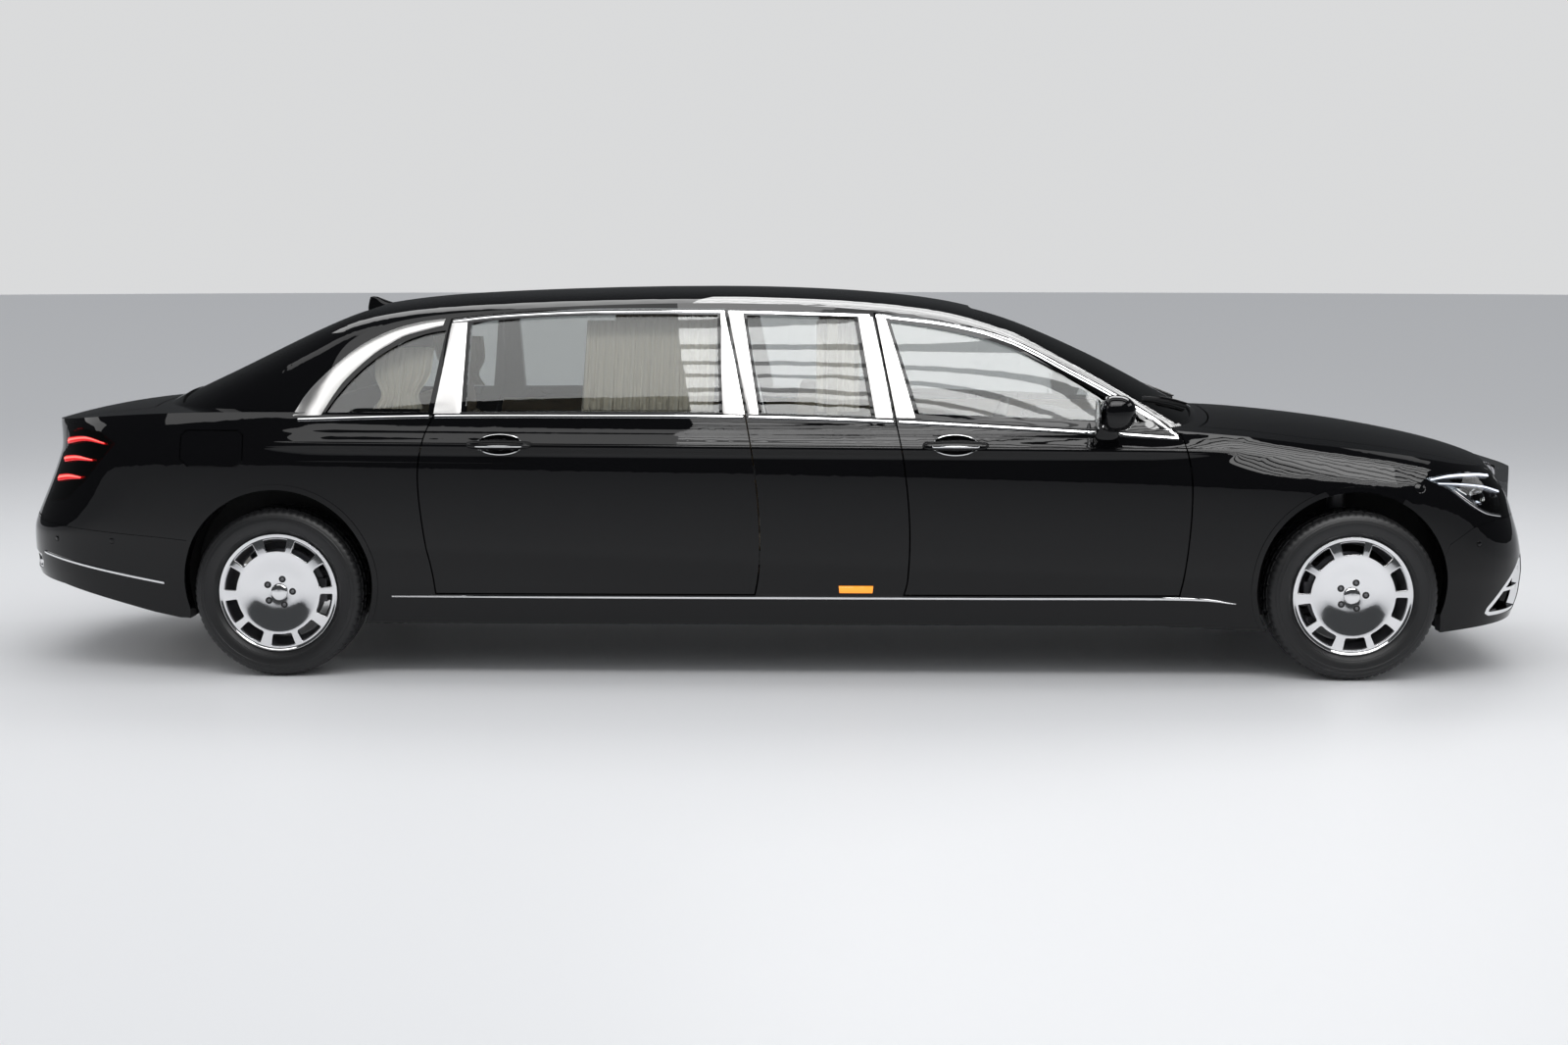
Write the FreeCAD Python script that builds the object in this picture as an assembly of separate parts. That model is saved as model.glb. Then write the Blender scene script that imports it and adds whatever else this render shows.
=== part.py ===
import FreeCAD, Part
import functools
import math
import os
from FreeCAD import Vector

# Driving dimensions of the whole car, in millimetres.
length = 6499.0
width = 1896.0
height = 1598.0
wheelbase = 4418.0
front_overhang = 845.0
track = 1630.0
tyre_diameter = 700.0
tyre_width = 245.0
rim_diameter = 491.0

# Walls, gaps and clearances.
door_wall = 75.0
pillar_wall = 45.0
deck_wall = 45.0
roof_wall = 38.0
shut_gap = 6.0
seam_width = 4.0
seam_depth = 10.0
glass_thickness = 5.0
glass_inset = 9.0
overrun = 400.0
running_gap = 6.0
seat_gap = 0.3
fine = 0.05
latch_slant_degrees = 21.0

half_length = length / 2
half_width = width / 2
front_axle_x = half_length - front_overhang
rear_axle_x = front_axle_x - wheelbase
wheel_z = tyre_diameter / 2
wheel_y = track / 2

# The side surface, as shares of half the length, half the width and the height.
plan_shares = (
    (-1.0, 0.0), (-1.0, 0.2), (-0.987, 0.45), (-0.957, 0.70), (-0.905, 0.865),
    (-0.835, 0.945), (-0.74, 0.985), (-0.585, 0.994), (-0.37, 1.0), (-0.12, 1.0),
    (0.12, 1.0), (0.34, 0.998), (0.53, 0.99), (0.68, 0.982), (0.82, 0.965),
    (0.915, 0.90), (0.968, 0.735), (0.992, 0.50), (1.0, 0.25), (1.0, 0.0),
)
station_shares = (-1.0, -0.83, -0.62, -0.41, 0.0, 0.18, 0.52, 0.74, 0.89, 1.0)
row_height_shares = (
    (0.0626, 0.0626, 0.0626, 0.0626, 0.0626,
     0.0626, 0.0626, 0.0626, 0.0626, 0.0626),
    (0.2409, 0.1877, 0.1502, 0.1389, 0.1389,
     0.1389, 0.1389, 0.1283, 0.1189, 0.122),
    (0.266, 0.2284, 0.1909, 0.1815, 0.1815,
     0.1815, 0.1783, 0.169, 0.1596, 0.1596),
    (0.291, 0.2691, 0.2315, 0.2159, 0.2159,
     0.2159, 0.2109, 0.2034, 0.194, 0.194),
    (0.3317, 0.3098, 0.2816, 0.266, 0.2491,
     0.2409, 0.2284, 0.2284, 0.2284, 0.2253),
    (0.3605, 0.3479, 0.3317, 0.316, 0.2835,
     0.2691, 0.2453, 0.2472, 0.2534, 0.2503),
    (0.378, 0.3667, 0.3504, 0.3348, 0.3023,
     0.2879, 0.2641, 0.266, 0.2722, 0.2691),
    (0.4318, 0.438, 0.4412, 0.4318, 0.413,
     0.4005, 0.388, 0.3755, 0.3504, 0.3317),
    (0.5006, 0.5144, 0.5225, 0.5181, 0.5056,
     0.4994, 0.485, 0.4662, 0.4318, 0.3942),
    (0.5538, 0.5663, 0.5663, 0.5569, 0.5457,
     0.5394, 0.5181, 0.5006, 0.4693, 0.438),
    (0.5726, 0.5851, 0.5845, 0.5745, 0.562,
     0.5557, 0.5357, 0.5181, 0.4881, 0.4599),
    (0.6133, 0.6383, 0.6508, 0.6471, 0.6408,
     0.6333, 0.5976, 0.5663, 0.5257, 0.4912),
    (0.6383, 0.6646, 0.6834, 0.6821, 0.6802,
     0.6721, 0.632, 0.5995, 0.5538, 0.5194),
    (0.6696, 0.7071, 0.7509, 0.7541, 0.7541,
     0.7478, 0.704, 0.6477, 0.5976, 0.5569),
    (0.7259, 0.7728, 0.8229, 0.8292, 0.8292,
     0.8229, 0.7854, 0.7009, 0.6539, 0.632),
    (0.8135, 0.8667, 0.9105, 0.9168, 0.9168,
     0.9105, 0.8792, 0.7854, 0.7416, 0.7384),
    (1.026, 1.026, 1.026, 1.026, 1.026,
     1.026, 1.026, 1.026, 1.026, 1.026),
)
row_inset_shares = (
    (0.0791, 0.0791, 0.0791, 0.0791, 0.0791,
     0.0791, 0.0791, 0.0791, 0.0791, 0.0791),
    (0.0506, 0.0506, 0.0506, 0.0506, 0.0506,
     0.0506, 0.0506, 0.0506, 0.0506, 0.0506),
    (0.038, 0.0401, 0.0422, 0.0422, 0.0422,
     0.0422, 0.0422, 0.0401, 0.038, 0.038),
    (0.0232, 0.0274, 0.0316, 0.0338, 0.0338,
     0.0338, 0.0338, 0.0295, 0.0232, 0.0211),
    (0.0148, 0.0211, 0.0274, 0.0306, 0.0306,
     0.0306, 0.0306, 0.0232, 0.0148, 0.0105),
    (0.0095, 0.0127, 0.0148, 0.0169, 0.0169,
     0.0169, 0.0169, 0.0127, 0.0084, 0.0042),
    (0.0032, 0.0032, 0.0042, 0.0042, 0.0042,
     0.0042, 0.0042, 0.0032, 0.0021, 0.0021),
    (0.0, 0.0, 0.0, 0.0, 0.0,
     0.0, 0.0, 0.0, 0.0, 0.0),
    (0.0, 0.0, 0.0, 0.0, 0.0,
     0.0, 0.0, 0.0, 0.0, 0.0),
    (0.0021, 0.0011, 0.0011, 0.0011, 0.0011,
     0.0011, 0.0011, 0.0021, 0.0042, 0.0042),
    (0.0105, 0.0084, 0.0084, 0.0084, 0.0084,
     0.0084, 0.0095, 0.0127, 0.0169, 0.0148),
    (0.0422, 0.0401, 0.0338, 0.0316, 0.0316,
     0.0316, 0.0401, 0.0654, 0.0527, 0.0422),
    (0.0654, 0.0654, 0.0591, 0.0559, 0.0559,
     0.0559, 0.0675, 0.1097, 0.0886, 0.0675),
    (0.1319, 0.1287, 0.116, 0.1129, 0.1129,
     0.1129, 0.1392, 0.2679, 0.2363, 0.173),
    (0.2152, 0.2025, 0.1814, 0.1762, 0.1762,
     0.1762, 0.2131, 0.4051, 0.3734, 0.2785),
    (0.3165, 0.2975, 0.2658, 0.2605, 0.2605,
     0.2605, 0.2975, 0.5105, 0.4789, 0.384),
    (0.3797, 0.3692, 0.3797, 0.3713, 0.3713,
     0.3713, 0.4219, 0.5907, 0.5907, 0.5274),
)
row_end_shares = (
    (0.0185, 0.0369), (0.0108, 0.0037), (0.0046, 0.0009), (0.0, 0.0002), (-0.0006, -0.0002),
    (-0.0018, 0.0005), (-0.0015, 0.0025), (0.0018, 0.0148), (0.0123, 0.0302), (0.0191, 0.0394),
    (0.0228, 0.0425), (0.0323, 0.0406), (0.0415, 0.0382), (0.0554, 0.0363), (0.0985, 0.0363),
    (0.1539, 0.0363), (0.2154, 0.0363),
)
end_start_share = 0.78
end_span_share = 0.19
wall_change_row = 10
wall_change_rows = 3

# The bonnet and boot deck, and the roof: place, height at the middle, drop at the side.
cross_shares = (-1.2, -0.95, -0.8, -0.7, -0.6, -0.45, -0.22, 0.0,
                0.22, 0.45, 0.6, 0.7, 0.8, 0.95, 1.2)
deck_shares = (
    (-1.077, 0.5632, 0.0375, 1), (-1.016, 0.6164, 0.0375, 1), (-0.9694, 0.6408, 0.0375, 1),
    (-0.9386, 0.6583, 0.0344, 1), (-0.9078, 0.6715, 0.0313, 1), (-0.8617, 0.6865, 0.0282, 1),
    (-0.8001, 0.6946, 0.0219, 1), (-0.7078, 0.6959, 0.0125, 1), (-0.5693, 0.6959, 0.0125, 1),
    (-0.4204, 0.6959, 0.0125, 1), (-0.2154, 0.6952, 0.0125, 1), (-0.024, 0.6934, 0.0125, 1),
    (0.164, 0.6852, 0.0125, 1), (0.3385, 0.6727, 0.0125, 1), (0.4065, 0.6671, 0.0138, 1),
    (0.477, 0.6646, 0.0219, 1), (0.5232, 0.6658, 0.0313, 1), (0.5693, 0.6696, 0.0469, 1),
    (0.6155, 0.6683, 0.0563, 1), (0.677, 0.6583, 0.0657, 1), (0.7478, 0.6421, 0.0657, 1),
    (0.8186, 0.6195, 0.0626, 1), (0.8924, 0.5889, 0.0688, 1), (0.9386, 0.5613, 0.0814, 1),
    (0.9694, 0.535, 0.0939, 1), (0.994, 0.5006, 0.1001, 1), (1.016, 0.4568, 0.1064, 1),
    (1.077, 0.3504, 0.1064, 1),
)
roof_shares = (
    (-0.9848, 0.4881, 0.1252, 0.72), (-0.8924, 0.6008, 0.1252, 0.72),
    (-0.8463, 0.6571, 0.1252, 0.72), (-0.7786, 0.7322, 0.122, 0.72),
    (-0.7438, 0.7635, 0.1189, 0.72), (-0.6872, 0.8185, 0.1145, 0.72),
    (-0.6309, 0.8736, 0.1001, 0.72), (-0.5964, 0.9049, 0.0876, 0.72),
    (-0.5693, 0.9274, 0.0751, 0.72), (-0.5355, 0.9518, 0.0563, 0.72),
    (-0.4708, 0.9712, 0.0438, 0.72), (-0.4001, 0.9825, 0.0407, 0.72),
    (-0.277, 0.9937, 0.0407, 0.72), (-0.1385, 1.001, 0.0407, 0.72), (0.0, 1.001, 0.0407, 0.72),
    (0.1231, 0.9894, 0.0426, 0.72), (0.2025, 0.9731, 0.0451, 0.725),
    (0.2536, 0.9562, 0.0513, 0.735), (0.3077, 0.928, 0.0651, 0.755),
    (0.3548, 0.893, 0.0807, 0.78), (0.4308, 0.8248, 0.0995, 0.84), (0.4878, 0.7647, 0.1095, 0.88),
    (0.5312, 0.7165, 0.1151, 0.92), (0.5693, 0.6758, 0.1151, 0.92),
    (0.6155, 0.6258, 0.1151, 0.92), (0.677, 0.5569, 0.1151, 0.92), (0.7693, 0.4506, 0.1151, 0.92),
)
roof_edge_drop = 35.0
roof_edge_power = 8

# Outlines seen from the side, as shares of half the length and of the height.
underside_shares = (
    (1.108, 0.164), (0.9894, 0.1596), (0.9694, 0.1389), (0.9232, 0.1314), (0.8884, 0.1252),
    (0.8592, 0.1189), (0.8001, 0.1189), (0.6112, 0.1258), (0.4948, 0.1389), (-0.4918, 0.1389),
    (-0.7487, 0.1489), (-0.7829, 0.1627), (-0.8229, 0.1834), (-0.8632, 0.2034), (-0.9112, 0.2259),
    (-0.954, 0.2365), (-1.108, 0.2447),
)
sill_top_share = 0.2165
front_door_front_shares = (
    (0.5238, 0.2165), (0.5309, 0.3148), (0.5355, 0.4305), (0.5355, 0.5075), (0.5299, 0.5914),
    (0.5225, 0.6308),
)
front_door_top_shares = (
    (0.5225, 0.6308), (0.4918, 0.6752), (0.4413, 0.7353), (0.3908, 0.7897), (0.3139, 0.8692),
    (0.2373, 0.9118), (0.1569, 0.9324), (0.1363, 0.9374),
)
front_door_rear_shares = (
    (0.1363, 0.9374), (0.1502, 0.801), (0.1634, 0.6665), (0.1729, 0.567), (0.1788, 0.4675),
    (0.1813, 0.3517), (0.1797, 0.2741), (0.1742, 0.2165),
)
rear_door_front_shares = (
    (-0.012, 0.2165), (-0.0071, 0.2753), (-0.0055, 0.3761), (-0.0086, 0.4762), (-0.0148, 0.5763),
    (-0.0237, 0.6758), (-0.0382, 0.8135), (-0.052, 0.9474),
)
rear_door_top_shares = (
    (-0.052, 0.9474), (-0.2213, 0.9468), (-0.3385, 0.9355), (-0.4038, 0.9212),
)
rear_door_rear_shares = (
    (-0.4038, 0.9212), (-0.4105, 0.801), (-0.4204, 0.6708), (-0.4278, 0.6383), (-0.4355, 0.5788),
    (-0.4379, 0.5144), (-0.4348, 0.4255), (-0.4281, 0.3285), (-0.4191, 0.2165),
)
front_window_shares = (
    (0.1936, 0.6834), (0.4108, 0.6671), (0.4801, 0.6608),
)
front_window_top_shares = (
    (0.4801, 0.6608), (0.4308, 0.7196), (0.3816, 0.776), (0.3077, 0.8498), (0.2339, 0.8911),
    (0.1576, 0.9149),
)
rear_window_pane_shares = (
    (-0.3779, 0.6865), (-0.2154, 0.6884), (-0.0579, 0.6871),
)
rear_window_top_shares = (
    (-0.0625, 0.9312), (-0.2213, 0.9299), (-0.3077, 0.9224), (-0.3779, 0.9099),
)
middle_window_shares = (
    (-0.0037, 0.6846), (0.1339, 0.6771), (0.1123, 0.9249), (-0.0252, 0.9299),
)
quarter_window_shares = (
    (-0.425, 0.6865), (-0.5555, 0.6846), (-0.5262, 0.7647), (-0.4976, 0.8185), (-0.457, 0.8667),
    (-0.409, 0.8911),
)
front_bumper_shares = (
    (0.8586, 0.0626), (0.854, 0.1877), (0.8494, 0.2941), (0.8617, 0.3504), (0.8924, 0.3911),
    (0.9232, 0.4068), (0.9663, 0.4099), (1.108, 0.4099), (1.108, 0.0626),
)
rear_bumper_shares = (
    (-1.108, 0.393), (-0.9786, 0.393), (-0.8617, 0.3755), (-0.7693, 0.3617), (-0.734, 0.3542),
    (-0.7355, 0.1564), (-0.7355, 0.0626), (-1.108, 0.0626),
)
headlamp_shares = (
    (0.8278, 0.5207), (0.8617, 0.5319), (0.9017, 0.5307), (0.9294, 0.5225), (0.9509, 0.4881),
    (0.9617, 0.4506), (0.9648, 0.413), (0.9355, 0.4099), (0.9078, 0.4224), (0.8835, 0.4518),
    (0.8586, 0.4919),
)
tail_lamp_shares = (
    (-0.8257, 0.602), (-0.8494, 0.632), (-0.8832, 0.637), (-0.9325, 0.6008), (-0.9848, 0.582),
    (-0.9848, 0.438), (-0.954, 0.4318), (-0.9017, 0.4506), (-0.8709, 0.5006), (-0.8447, 0.5601),
)
fuel_flap_shares = (
    (-0.738, 0.6258), (-0.7309, 0.6377), (-0.6647, 0.6377), (-0.6595, 0.627), (-0.6595, 0.5632),
    (-0.6663, 0.5494), (-0.7293, 0.5494), (-0.738, 0.5663),
)
side_intake_shares = (
    (0.9894, 0.3129), (0.9694, 0.2941), (0.9186, 0.1783), (0.9164, 0.164), (0.9226, 0.1564),
    (0.9786, 0.1577), (1.016, 0.164), (1.016, 0.3129),
)
intake_frame_width = 16.0
intake_depth = 52.0
intake_bar_shares = ((0.2159, 0.2247), (0.2616, 0.2703))
intake_inner_y = 560.0
headlamp_inner_y = 455.0
tail_lamp_inner_y = 655.0
lamp_depth = 60.0
lens_thickness = 4.0
projector_radius = 36.0
projector_length = 90.0
projector_turn = 0.45
projector_place_shares = ((0.9109, 0.7278, 0.4743), (0.9355, 0.6171, 0.4706))
tail_bar_shares = ((0.587, 0.6045), (0.5394, 0.5582), (0.4869, 0.5081))

# Outlines seen from the front, as shares of half the width and of the height.
grille_shares = (
    (0.0, 0.5294), (0.2321, 0.5269), (0.3797, 0.5144), (0.4304, 0.4819), (0.4346, 0.438),
    (0.403, 0.3692), (0.3586, 0.3429), (0.0, 0.3379),
)
grille_profile_shares = (
    (0.9601, 0.5319), (0.9749, 0.5294), (0.9872, 0.5156), (0.994, 0.485), (0.9971, 0.438),
    (0.9965, 0.3755), (0.994, 0.3317), (0.9601, 0.3317),
)
grille_plan_radius = 1250.0
grille_frame_width = 22.0
grille_depth = 60.0
grille_bar_width = 9.0
grille_bar_count = 15
grille_bar_set = 8.0
grille_bar_depth = 26.0
low_intake_shares = (
    (0.0, 0.2991), (0.3797, 0.2941), (0.4536, 0.2753), (0.48, 0.2065), (0.443, 0.1827),
    (0.0, 0.1783),
)
plate_recess_shares = (
    (0.0, 0.5194), (0.3006, 0.5169), (0.3165, 0.5006), (0.3059, 0.4418), (0.2848, 0.4355),
    (0.0, 0.4343),
)
plate_recess_depth = 14.0
exhaust_trim_shares = (
    (0.4061, 0.2866), (0.4219, 0.2966), (0.5907, 0.3004), (0.6751, 0.2941), (0.6835, 0.2753),
    (0.654, 0.2553), (0.443, 0.2516), (0.4093, 0.2616),
)
bumper_frame_width = 9.0
tip_x = -3120.0
tip_y = 560.0
tip_z = 442.0
tip_radius = 21.0

# Outlines seen from above, as shares of half the length and half the width.
screen_side_shares = (
    (0.565, 0.0), (0.5601, 0.3165), (0.5462, 0.5907), (0.5201, 0.7806),
)
screen_pillar_shares = (
    (0.5201, 0.7806), (0.4308, 0.7384), (0.3539, 0.6804), (0.2954, 0.6118),
)
screen_top_shares = (
    (0.2954, 0.6118), (0.2785, 0.443), (0.2708, 0.0),
)
backlight_base_shares = (
    (-0.7878, 0.0), (-0.7832, 0.3165), (-0.7663, 0.5907),
)
backlight_side_shares = (
    (-0.7663, 0.5907), (-0.6463, 0.6065), (-0.5416, 0.5749),
)
backlight_top_shares = (
    (-0.5416, 0.5749), (-0.5232, 0.4219), (-0.5201, 0.0),
)
bonnet_rear_shares = (
    (0.5847, 0.0), (0.5801, 0.3692), (0.5662, 0.6329), (0.5509, 0.7616),
)
bonnet_side_shares = (
    (0.5509, 0.7616), (0.6463, 0.7753), (0.8001, 0.7542), (0.8924, 0.7015), (0.9263, 0.6435),
)
bonnet_front_shares = (
    (0.9263, 0.6435), (0.9494, 0.5274), (0.9626, 0.4409),
)
bonnet_nose_shares = (
    (0.9626, 0.4409), (0.9694, 0.2743), (0.9725, 0.0),
)
boot_front_shares = (
    (-0.8124, 0.0), (-0.8094, 0.3692), (-0.8001, 0.5907),
)
boot_corner_shares = (
    (-0.8001, 0.5907), (-0.8078, 0.6435), (-0.8278, 0.6751),
)
boot_side_shares = (
    (-0.8278, 0.6751), (-1.108, 0.6751),
)
tail_split_share = 0.3955
bonnet_low_share = 0.52

# The wheel arches and the wheel houses.
arch_radius = 392.0
arch_rise = 38.0
arch_lip_width = 22.0
arch_lip_height = 4.0
front_house_radius = 440.0
rear_house_radius = 408.0
house_wall = 6.0
front_house_inner_y = 470.0
rear_house_inner_y = 640.0
door_inner_y = 600.0
hinge_height_shares = (0.313, 0.532)
leaf_length = 60.0
leaf_thickness = 22.0
leaf_inset = 5.0
leaf_half_width = 28.0
lid_leaf_shares = {"bonnet": (0.5555, 0.7152), "boot_lid": (-0.8094, 0.4219)}


# Helpers for the surfaces.
def smooth(t):
    """Ease a share between zero and one."""
    t = max(0.0, min(1.0, t))
    return t * t * (3 - 2 * t)


def read(x, places, values):
    """Read a table at x along straight lines."""
    for a, b, p, q in zip(places, places[1:], values, values[1:]):
        if x <= b:
            return p + (q - p) * (x - a) / (b - a)
    return values[-1]


def surface(net):
    """A cubic surface from a net of poles."""
    def knots(count):
        spans = count - 3
        return [float(i) for i in range(spans + 1)], [4] + [1] * (spans - 1) + [4]
    u_knots, u_mults = knots(len(net))
    v_knots, v_mults = knots(len(net[0]))
    sheet = Part.BSplineSurface()
    sheet.buildFromPolesMultsKnots(net, u_mults, v_mults, u_knots, v_knots,
                                   False, False, 3, 3)
    return sheet


def girdle_face(lower=0.0, upper=0.0):
    """The car's right side and ends, set in by a wall below and above the belt."""
    net = []
    rows = zip(row_height_shares, row_inset_shares, row_end_shares)
    for k, (heights, insets, (nose, tail)) in enumerate(rows):
        wall = lower + (upper - lower) * smooth((k - wall_change_row) / wall_change_rows)
        row = []
        for share_x, share_y in plan_shares:
            turn = smooth((abs(share_x) - end_start_share) / end_span_share)
            end = (nose if share_x > 0 else -tail) * half_length
            x = share_x * half_length - turn * (end + math.copysign(wall, share_x))
            inset = read(share_x, station_shares, insets) * half_width + wall
            y = share_y * (half_width - inset)
            row.append(Vector(x, -y, read(share_x, station_shares, heights) * height))
        net.append(row)
    return surface(net).toShape()


def mirrored(shape):
    """The same shape on the car's other side."""
    return shape.mirror(Vector(0, 0, 0), Vector(0, 1, 0))


def level_edges(faces, z):
    """The faces' edges that lie flat at one height."""
    return [e for f in faces for e in f.Edges
            if abs(e.BoundBox.ZMin - z) < fine and abs(e.BoundBox.ZMax - z) < fine]


@functools.lru_cache(maxsize=None)
def girdle_solid(lower=0.0, upper=None):
    """A closed block under the side surface, set in by a wall."""
    upper = lower if upper is None else upper
    right = girdle_face(lower, upper)
    faces = [right, mirrored(right)]
    for shares in (row_height_shares[0], row_height_shares[-1]):
        edges = level_edges(faces[:2], shares[0] * height)
        faces.append(Part.Face(Part.Wire(Part.__sortEdges__(edges))))
    skin = Part.Shell(faces)
    skin.sewShape()
    solid = Part.Solid(skin)
    if solid.Volume < 0:
        solid.reverse()
    return solid


def lid_solid(table, wall=0.0, edge_drop=0.0):
    """The space under a roof or deck surface."""
    net = []
    for share_x, share_z, drop_share, edge_share in table:
        row = []
        for share in cross_shares:
            rim = edge_drop * (min(abs(share), 1.0) / edge_share) ** roof_edge_power
            z = (share_z - drop_share * share * share) * height - wall - rim
            row.append(Vector(share_x * half_length, share * half_width, z))
        net.append(row)
    return surface(net).toShape().extrude(Vector(0, 0, -2 * height))


def body_block(lower=0.0, upper=0.0, deck=0.0, roof=0.0):
    """The whole body's block, set in by its walls."""
    top = lid_solid(deck_shares, deck).fuse(lid_solid(roof_shares, roof, roof_edge_drop))
    return girdle_solid(lower, upper).common(top)


# Helpers for the outlines.
def side(shares, shift=0.0):
    """Points in the side view."""
    return [Vector(x * half_length + shift, 0, z * height) for x, z in shares]


def plan(shares):
    """Points in the top view, on the car's right."""
    return [Vector(x * half_length, -y * half_width, 0) for x, y in shares]


def front(shares):
    """Points in the front view, of a shape that is the same left and right."""
    right = [Vector(0, -y * half_width, z * height) for y, z in shares]
    left = [Vector(0, -p.y, p.z) for p in right[::-1] if abs(p.y) > fine]
    return right + left


def curve(points):
    """A straight edge through two points, or a smooth one through more."""
    if len(points) == 2:
        return Part.makeLine(*points)
    spline = Part.BSplineCurve()
    spline.interpolate(points)
    return spline.toShape()


def region(*outline):
    """A flat face inside pieces of outline; open places between them are closed straight."""
    edges = []
    for piece, following in zip(outline, outline[1:] + outline[:1]):
        if len(piece) > 1:
            edges.append(curve(piece))
        if (piece[-1] - following[0]).Length > fine:
            edges.append(Part.makeLine(piece[-1], following[0]))
    return Part.Face(Part.Wire(edges))


def polygon(points):
    """A flat face with straight edges."""
    return Part.Face(Part.makePolygon(points + points[:1]))


def loop_of(outline):
    """The separate points of an outline, in order."""
    loop = []
    for piece in outline:
        loop += [p for p in piece if not loop or (p - loop[-1]).Length > fine]
    if (loop[0] - loop[-1]).Length < fine:
        loop.pop()
    return loop


def grown(piece, outline, amount):
    """Points of an outline's piece moved outwards, or inwards by a negative amount."""
    loop = loop_of(outline)
    spin = Vector(0, 0, 0)
    for a, b in zip(loop, loop[1:] + loop[:1]):
        spin += (a - loop[0]).cross(b - loop[0])
    spin.normalize()
    moved = []
    for p in piece:
        k = min(range(len(loop)), key=lambda i: (loop[i] - p).Length)
        before = (p - loop[k - 1]).normalize()
        after = (loop[(k + 1) % len(loop)] - p).normalize()
        normal = (before + after).normalize().cross(spin)
        moved.append(p + normal * (amount / math.sqrt((1 + before.dot(after)) / 2)))
    return moved


def grown_polygon(points, amount):
    """A straight-edged face, grown all round."""
    return polygon(grown(points, [points], amount))


def across(face, y_from=-half_width - overrun, y_to=0.0, slant=0.0):
    """Run a side-view face across the car."""
    face = face.copy()
    face.translate(Vector(slant * y_from, y_from, 0))
    return face.extrude(Vector(slant * (y_to - y_from), y_to - y_from, 0))


def upward(face, z_from=-overrun, z_to=height + overrun):
    """Run a top-view face upwards."""
    face = face.copy()
    face.translate(Vector(0, 0, z_from))
    return face.extrude(Vector(0, 0, z_to - z_from))


def lengthwise(face, x_from, x_to):
    """Run a front-view face along the car."""
    face = face.copy()
    face.translate(Vector(x_from, 0, 0))
    return face.extrude(Vector(x_to - x_from, 0, 0))


def box(x_from, x_to, y_from, y_to, z_from, z_to):
    """A box between two corners."""
    return Part.makeBox(x_to - x_from, y_to - y_from, z_to - z_from,
                        Vector(x_from, y_from, z_from))


def rod(start, end, radius):
    """A round bar between two points."""
    return Part.makeCylinder(radius, (end - start).Length, start, end - start)


def bar_across(x, z, radius, y_from, y_to):
    """A round bar that lies across the car."""
    return Part.makeCylinder(radius, abs(y_to - y_from), Vector(x, min(y_from, y_to), z),
                             Vector(0, 1, 0))


def span(sign, a, b):
    """Two places out from the middle, on one side and in rising order."""
    return sorted((sign * a, sign * b))


def group(*shapes):
    """Several shapes as one."""
    return Part.makeCompound(list(shapes))


def both(shape):
    """A right-hand shape with its mirror image."""
    return group(shape, mirrored(shape))


def biggest(shape, count=1):
    """The largest solid of a cut, or several of them as one shape."""
    solids = sorted(shape.Solids, key=lambda s: s.Volume)[-count:]
    return solids[0] if count == 1 else group(*solids)


def near_skin(tool, depth, start=0.0):
    """The part of a block that lies between two depths under the side skin."""
    held = tool.common(girdle_solid(start)) if start else tool
    return held.cut(girdle_solid(depth))


pieces = {}


def keep(name, shape):
    """Keep a finished piece under its node's name."""
    pieces[name] = shape


def keep_both(name, shape, tail=""):
    """Keep a right-hand piece and its mirror image as two nodes."""
    keep(name + "_right" + tail, shape)
    keep(name + "_left" + tail, mirrored(shape))


def take(tool):
    """Cut a block out of the shell and return what it held."""
    global shell
    held = shell.common(tool)
    shell = shell.cut(tool)
    return held


# The body's shell, hollow and open below, with a raised lip round each wheel arch.
outer = body_block()
inner = body_block(door_wall, pillar_wall, deck_wall, roof_wall)
underside = side(underside_shares)
top_corners = [Vector(-length, 0, 2 * height), Vector(length, 0, 2 * height)]
above_ground = across(polygon(underside + top_corners), -width, width)
arch_z = wheel_z + arch_rise
arches = []
lips = []
for x in (front_axle_x, rear_axle_x):
    arch = bar_across(x, arch_z, arch_radius, -width, width)
    arches.append(arch)
    ring = bar_across(x, arch_z, arch_radius + arch_lip_width, -width, width).cut(arch)
    lips.append(near_skin(ring, fine * 2, -arch_lip_height))
shell = outer.multiFuse(lips).common(above_ground).cut(inner).cut(group(*arches))

# The wheel houses: each a skin and the hollow inside it.
houses = []
for x, radius, inner_y in ((front_axle_x, front_house_radius, front_house_inner_y),
                           (rear_axle_x, rear_house_radius, rear_house_inner_y)):
    for sign in (-1, 1):
        hollow = bar_across(x, arch_z, radius, sign * inner_y, sign * width)
        skin = bar_across(x, arch_z, radius + house_wall, sign * (inner_y - house_wall),
                          sign * width)
        houses.append((skin, hollow))
hollows = group(*[hollow for skin, hollow in houses])

# The doors: the opening in the shell, the panel that fills it and its glass.
slant = math.tan(math.radians(latch_slant_degrees))
side_skin = girdle_face()
sill_top_z = sill_top_share * height


def skin_y(x, z):
    """How far out the right side's skin is at a place in the side view."""
    line = Part.makeLine(Vector(x, 0, z), Vector(x, -width, z))
    return line.distToShape(side_skin)[1][0][1].y


def slanted(points):
    """Side-view points on the skin, slid along the latch slant to the middle plane."""
    return [Vector(p.x - slant * skin_y(p.x, p.z), 0, p.z) for p in points]


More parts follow.
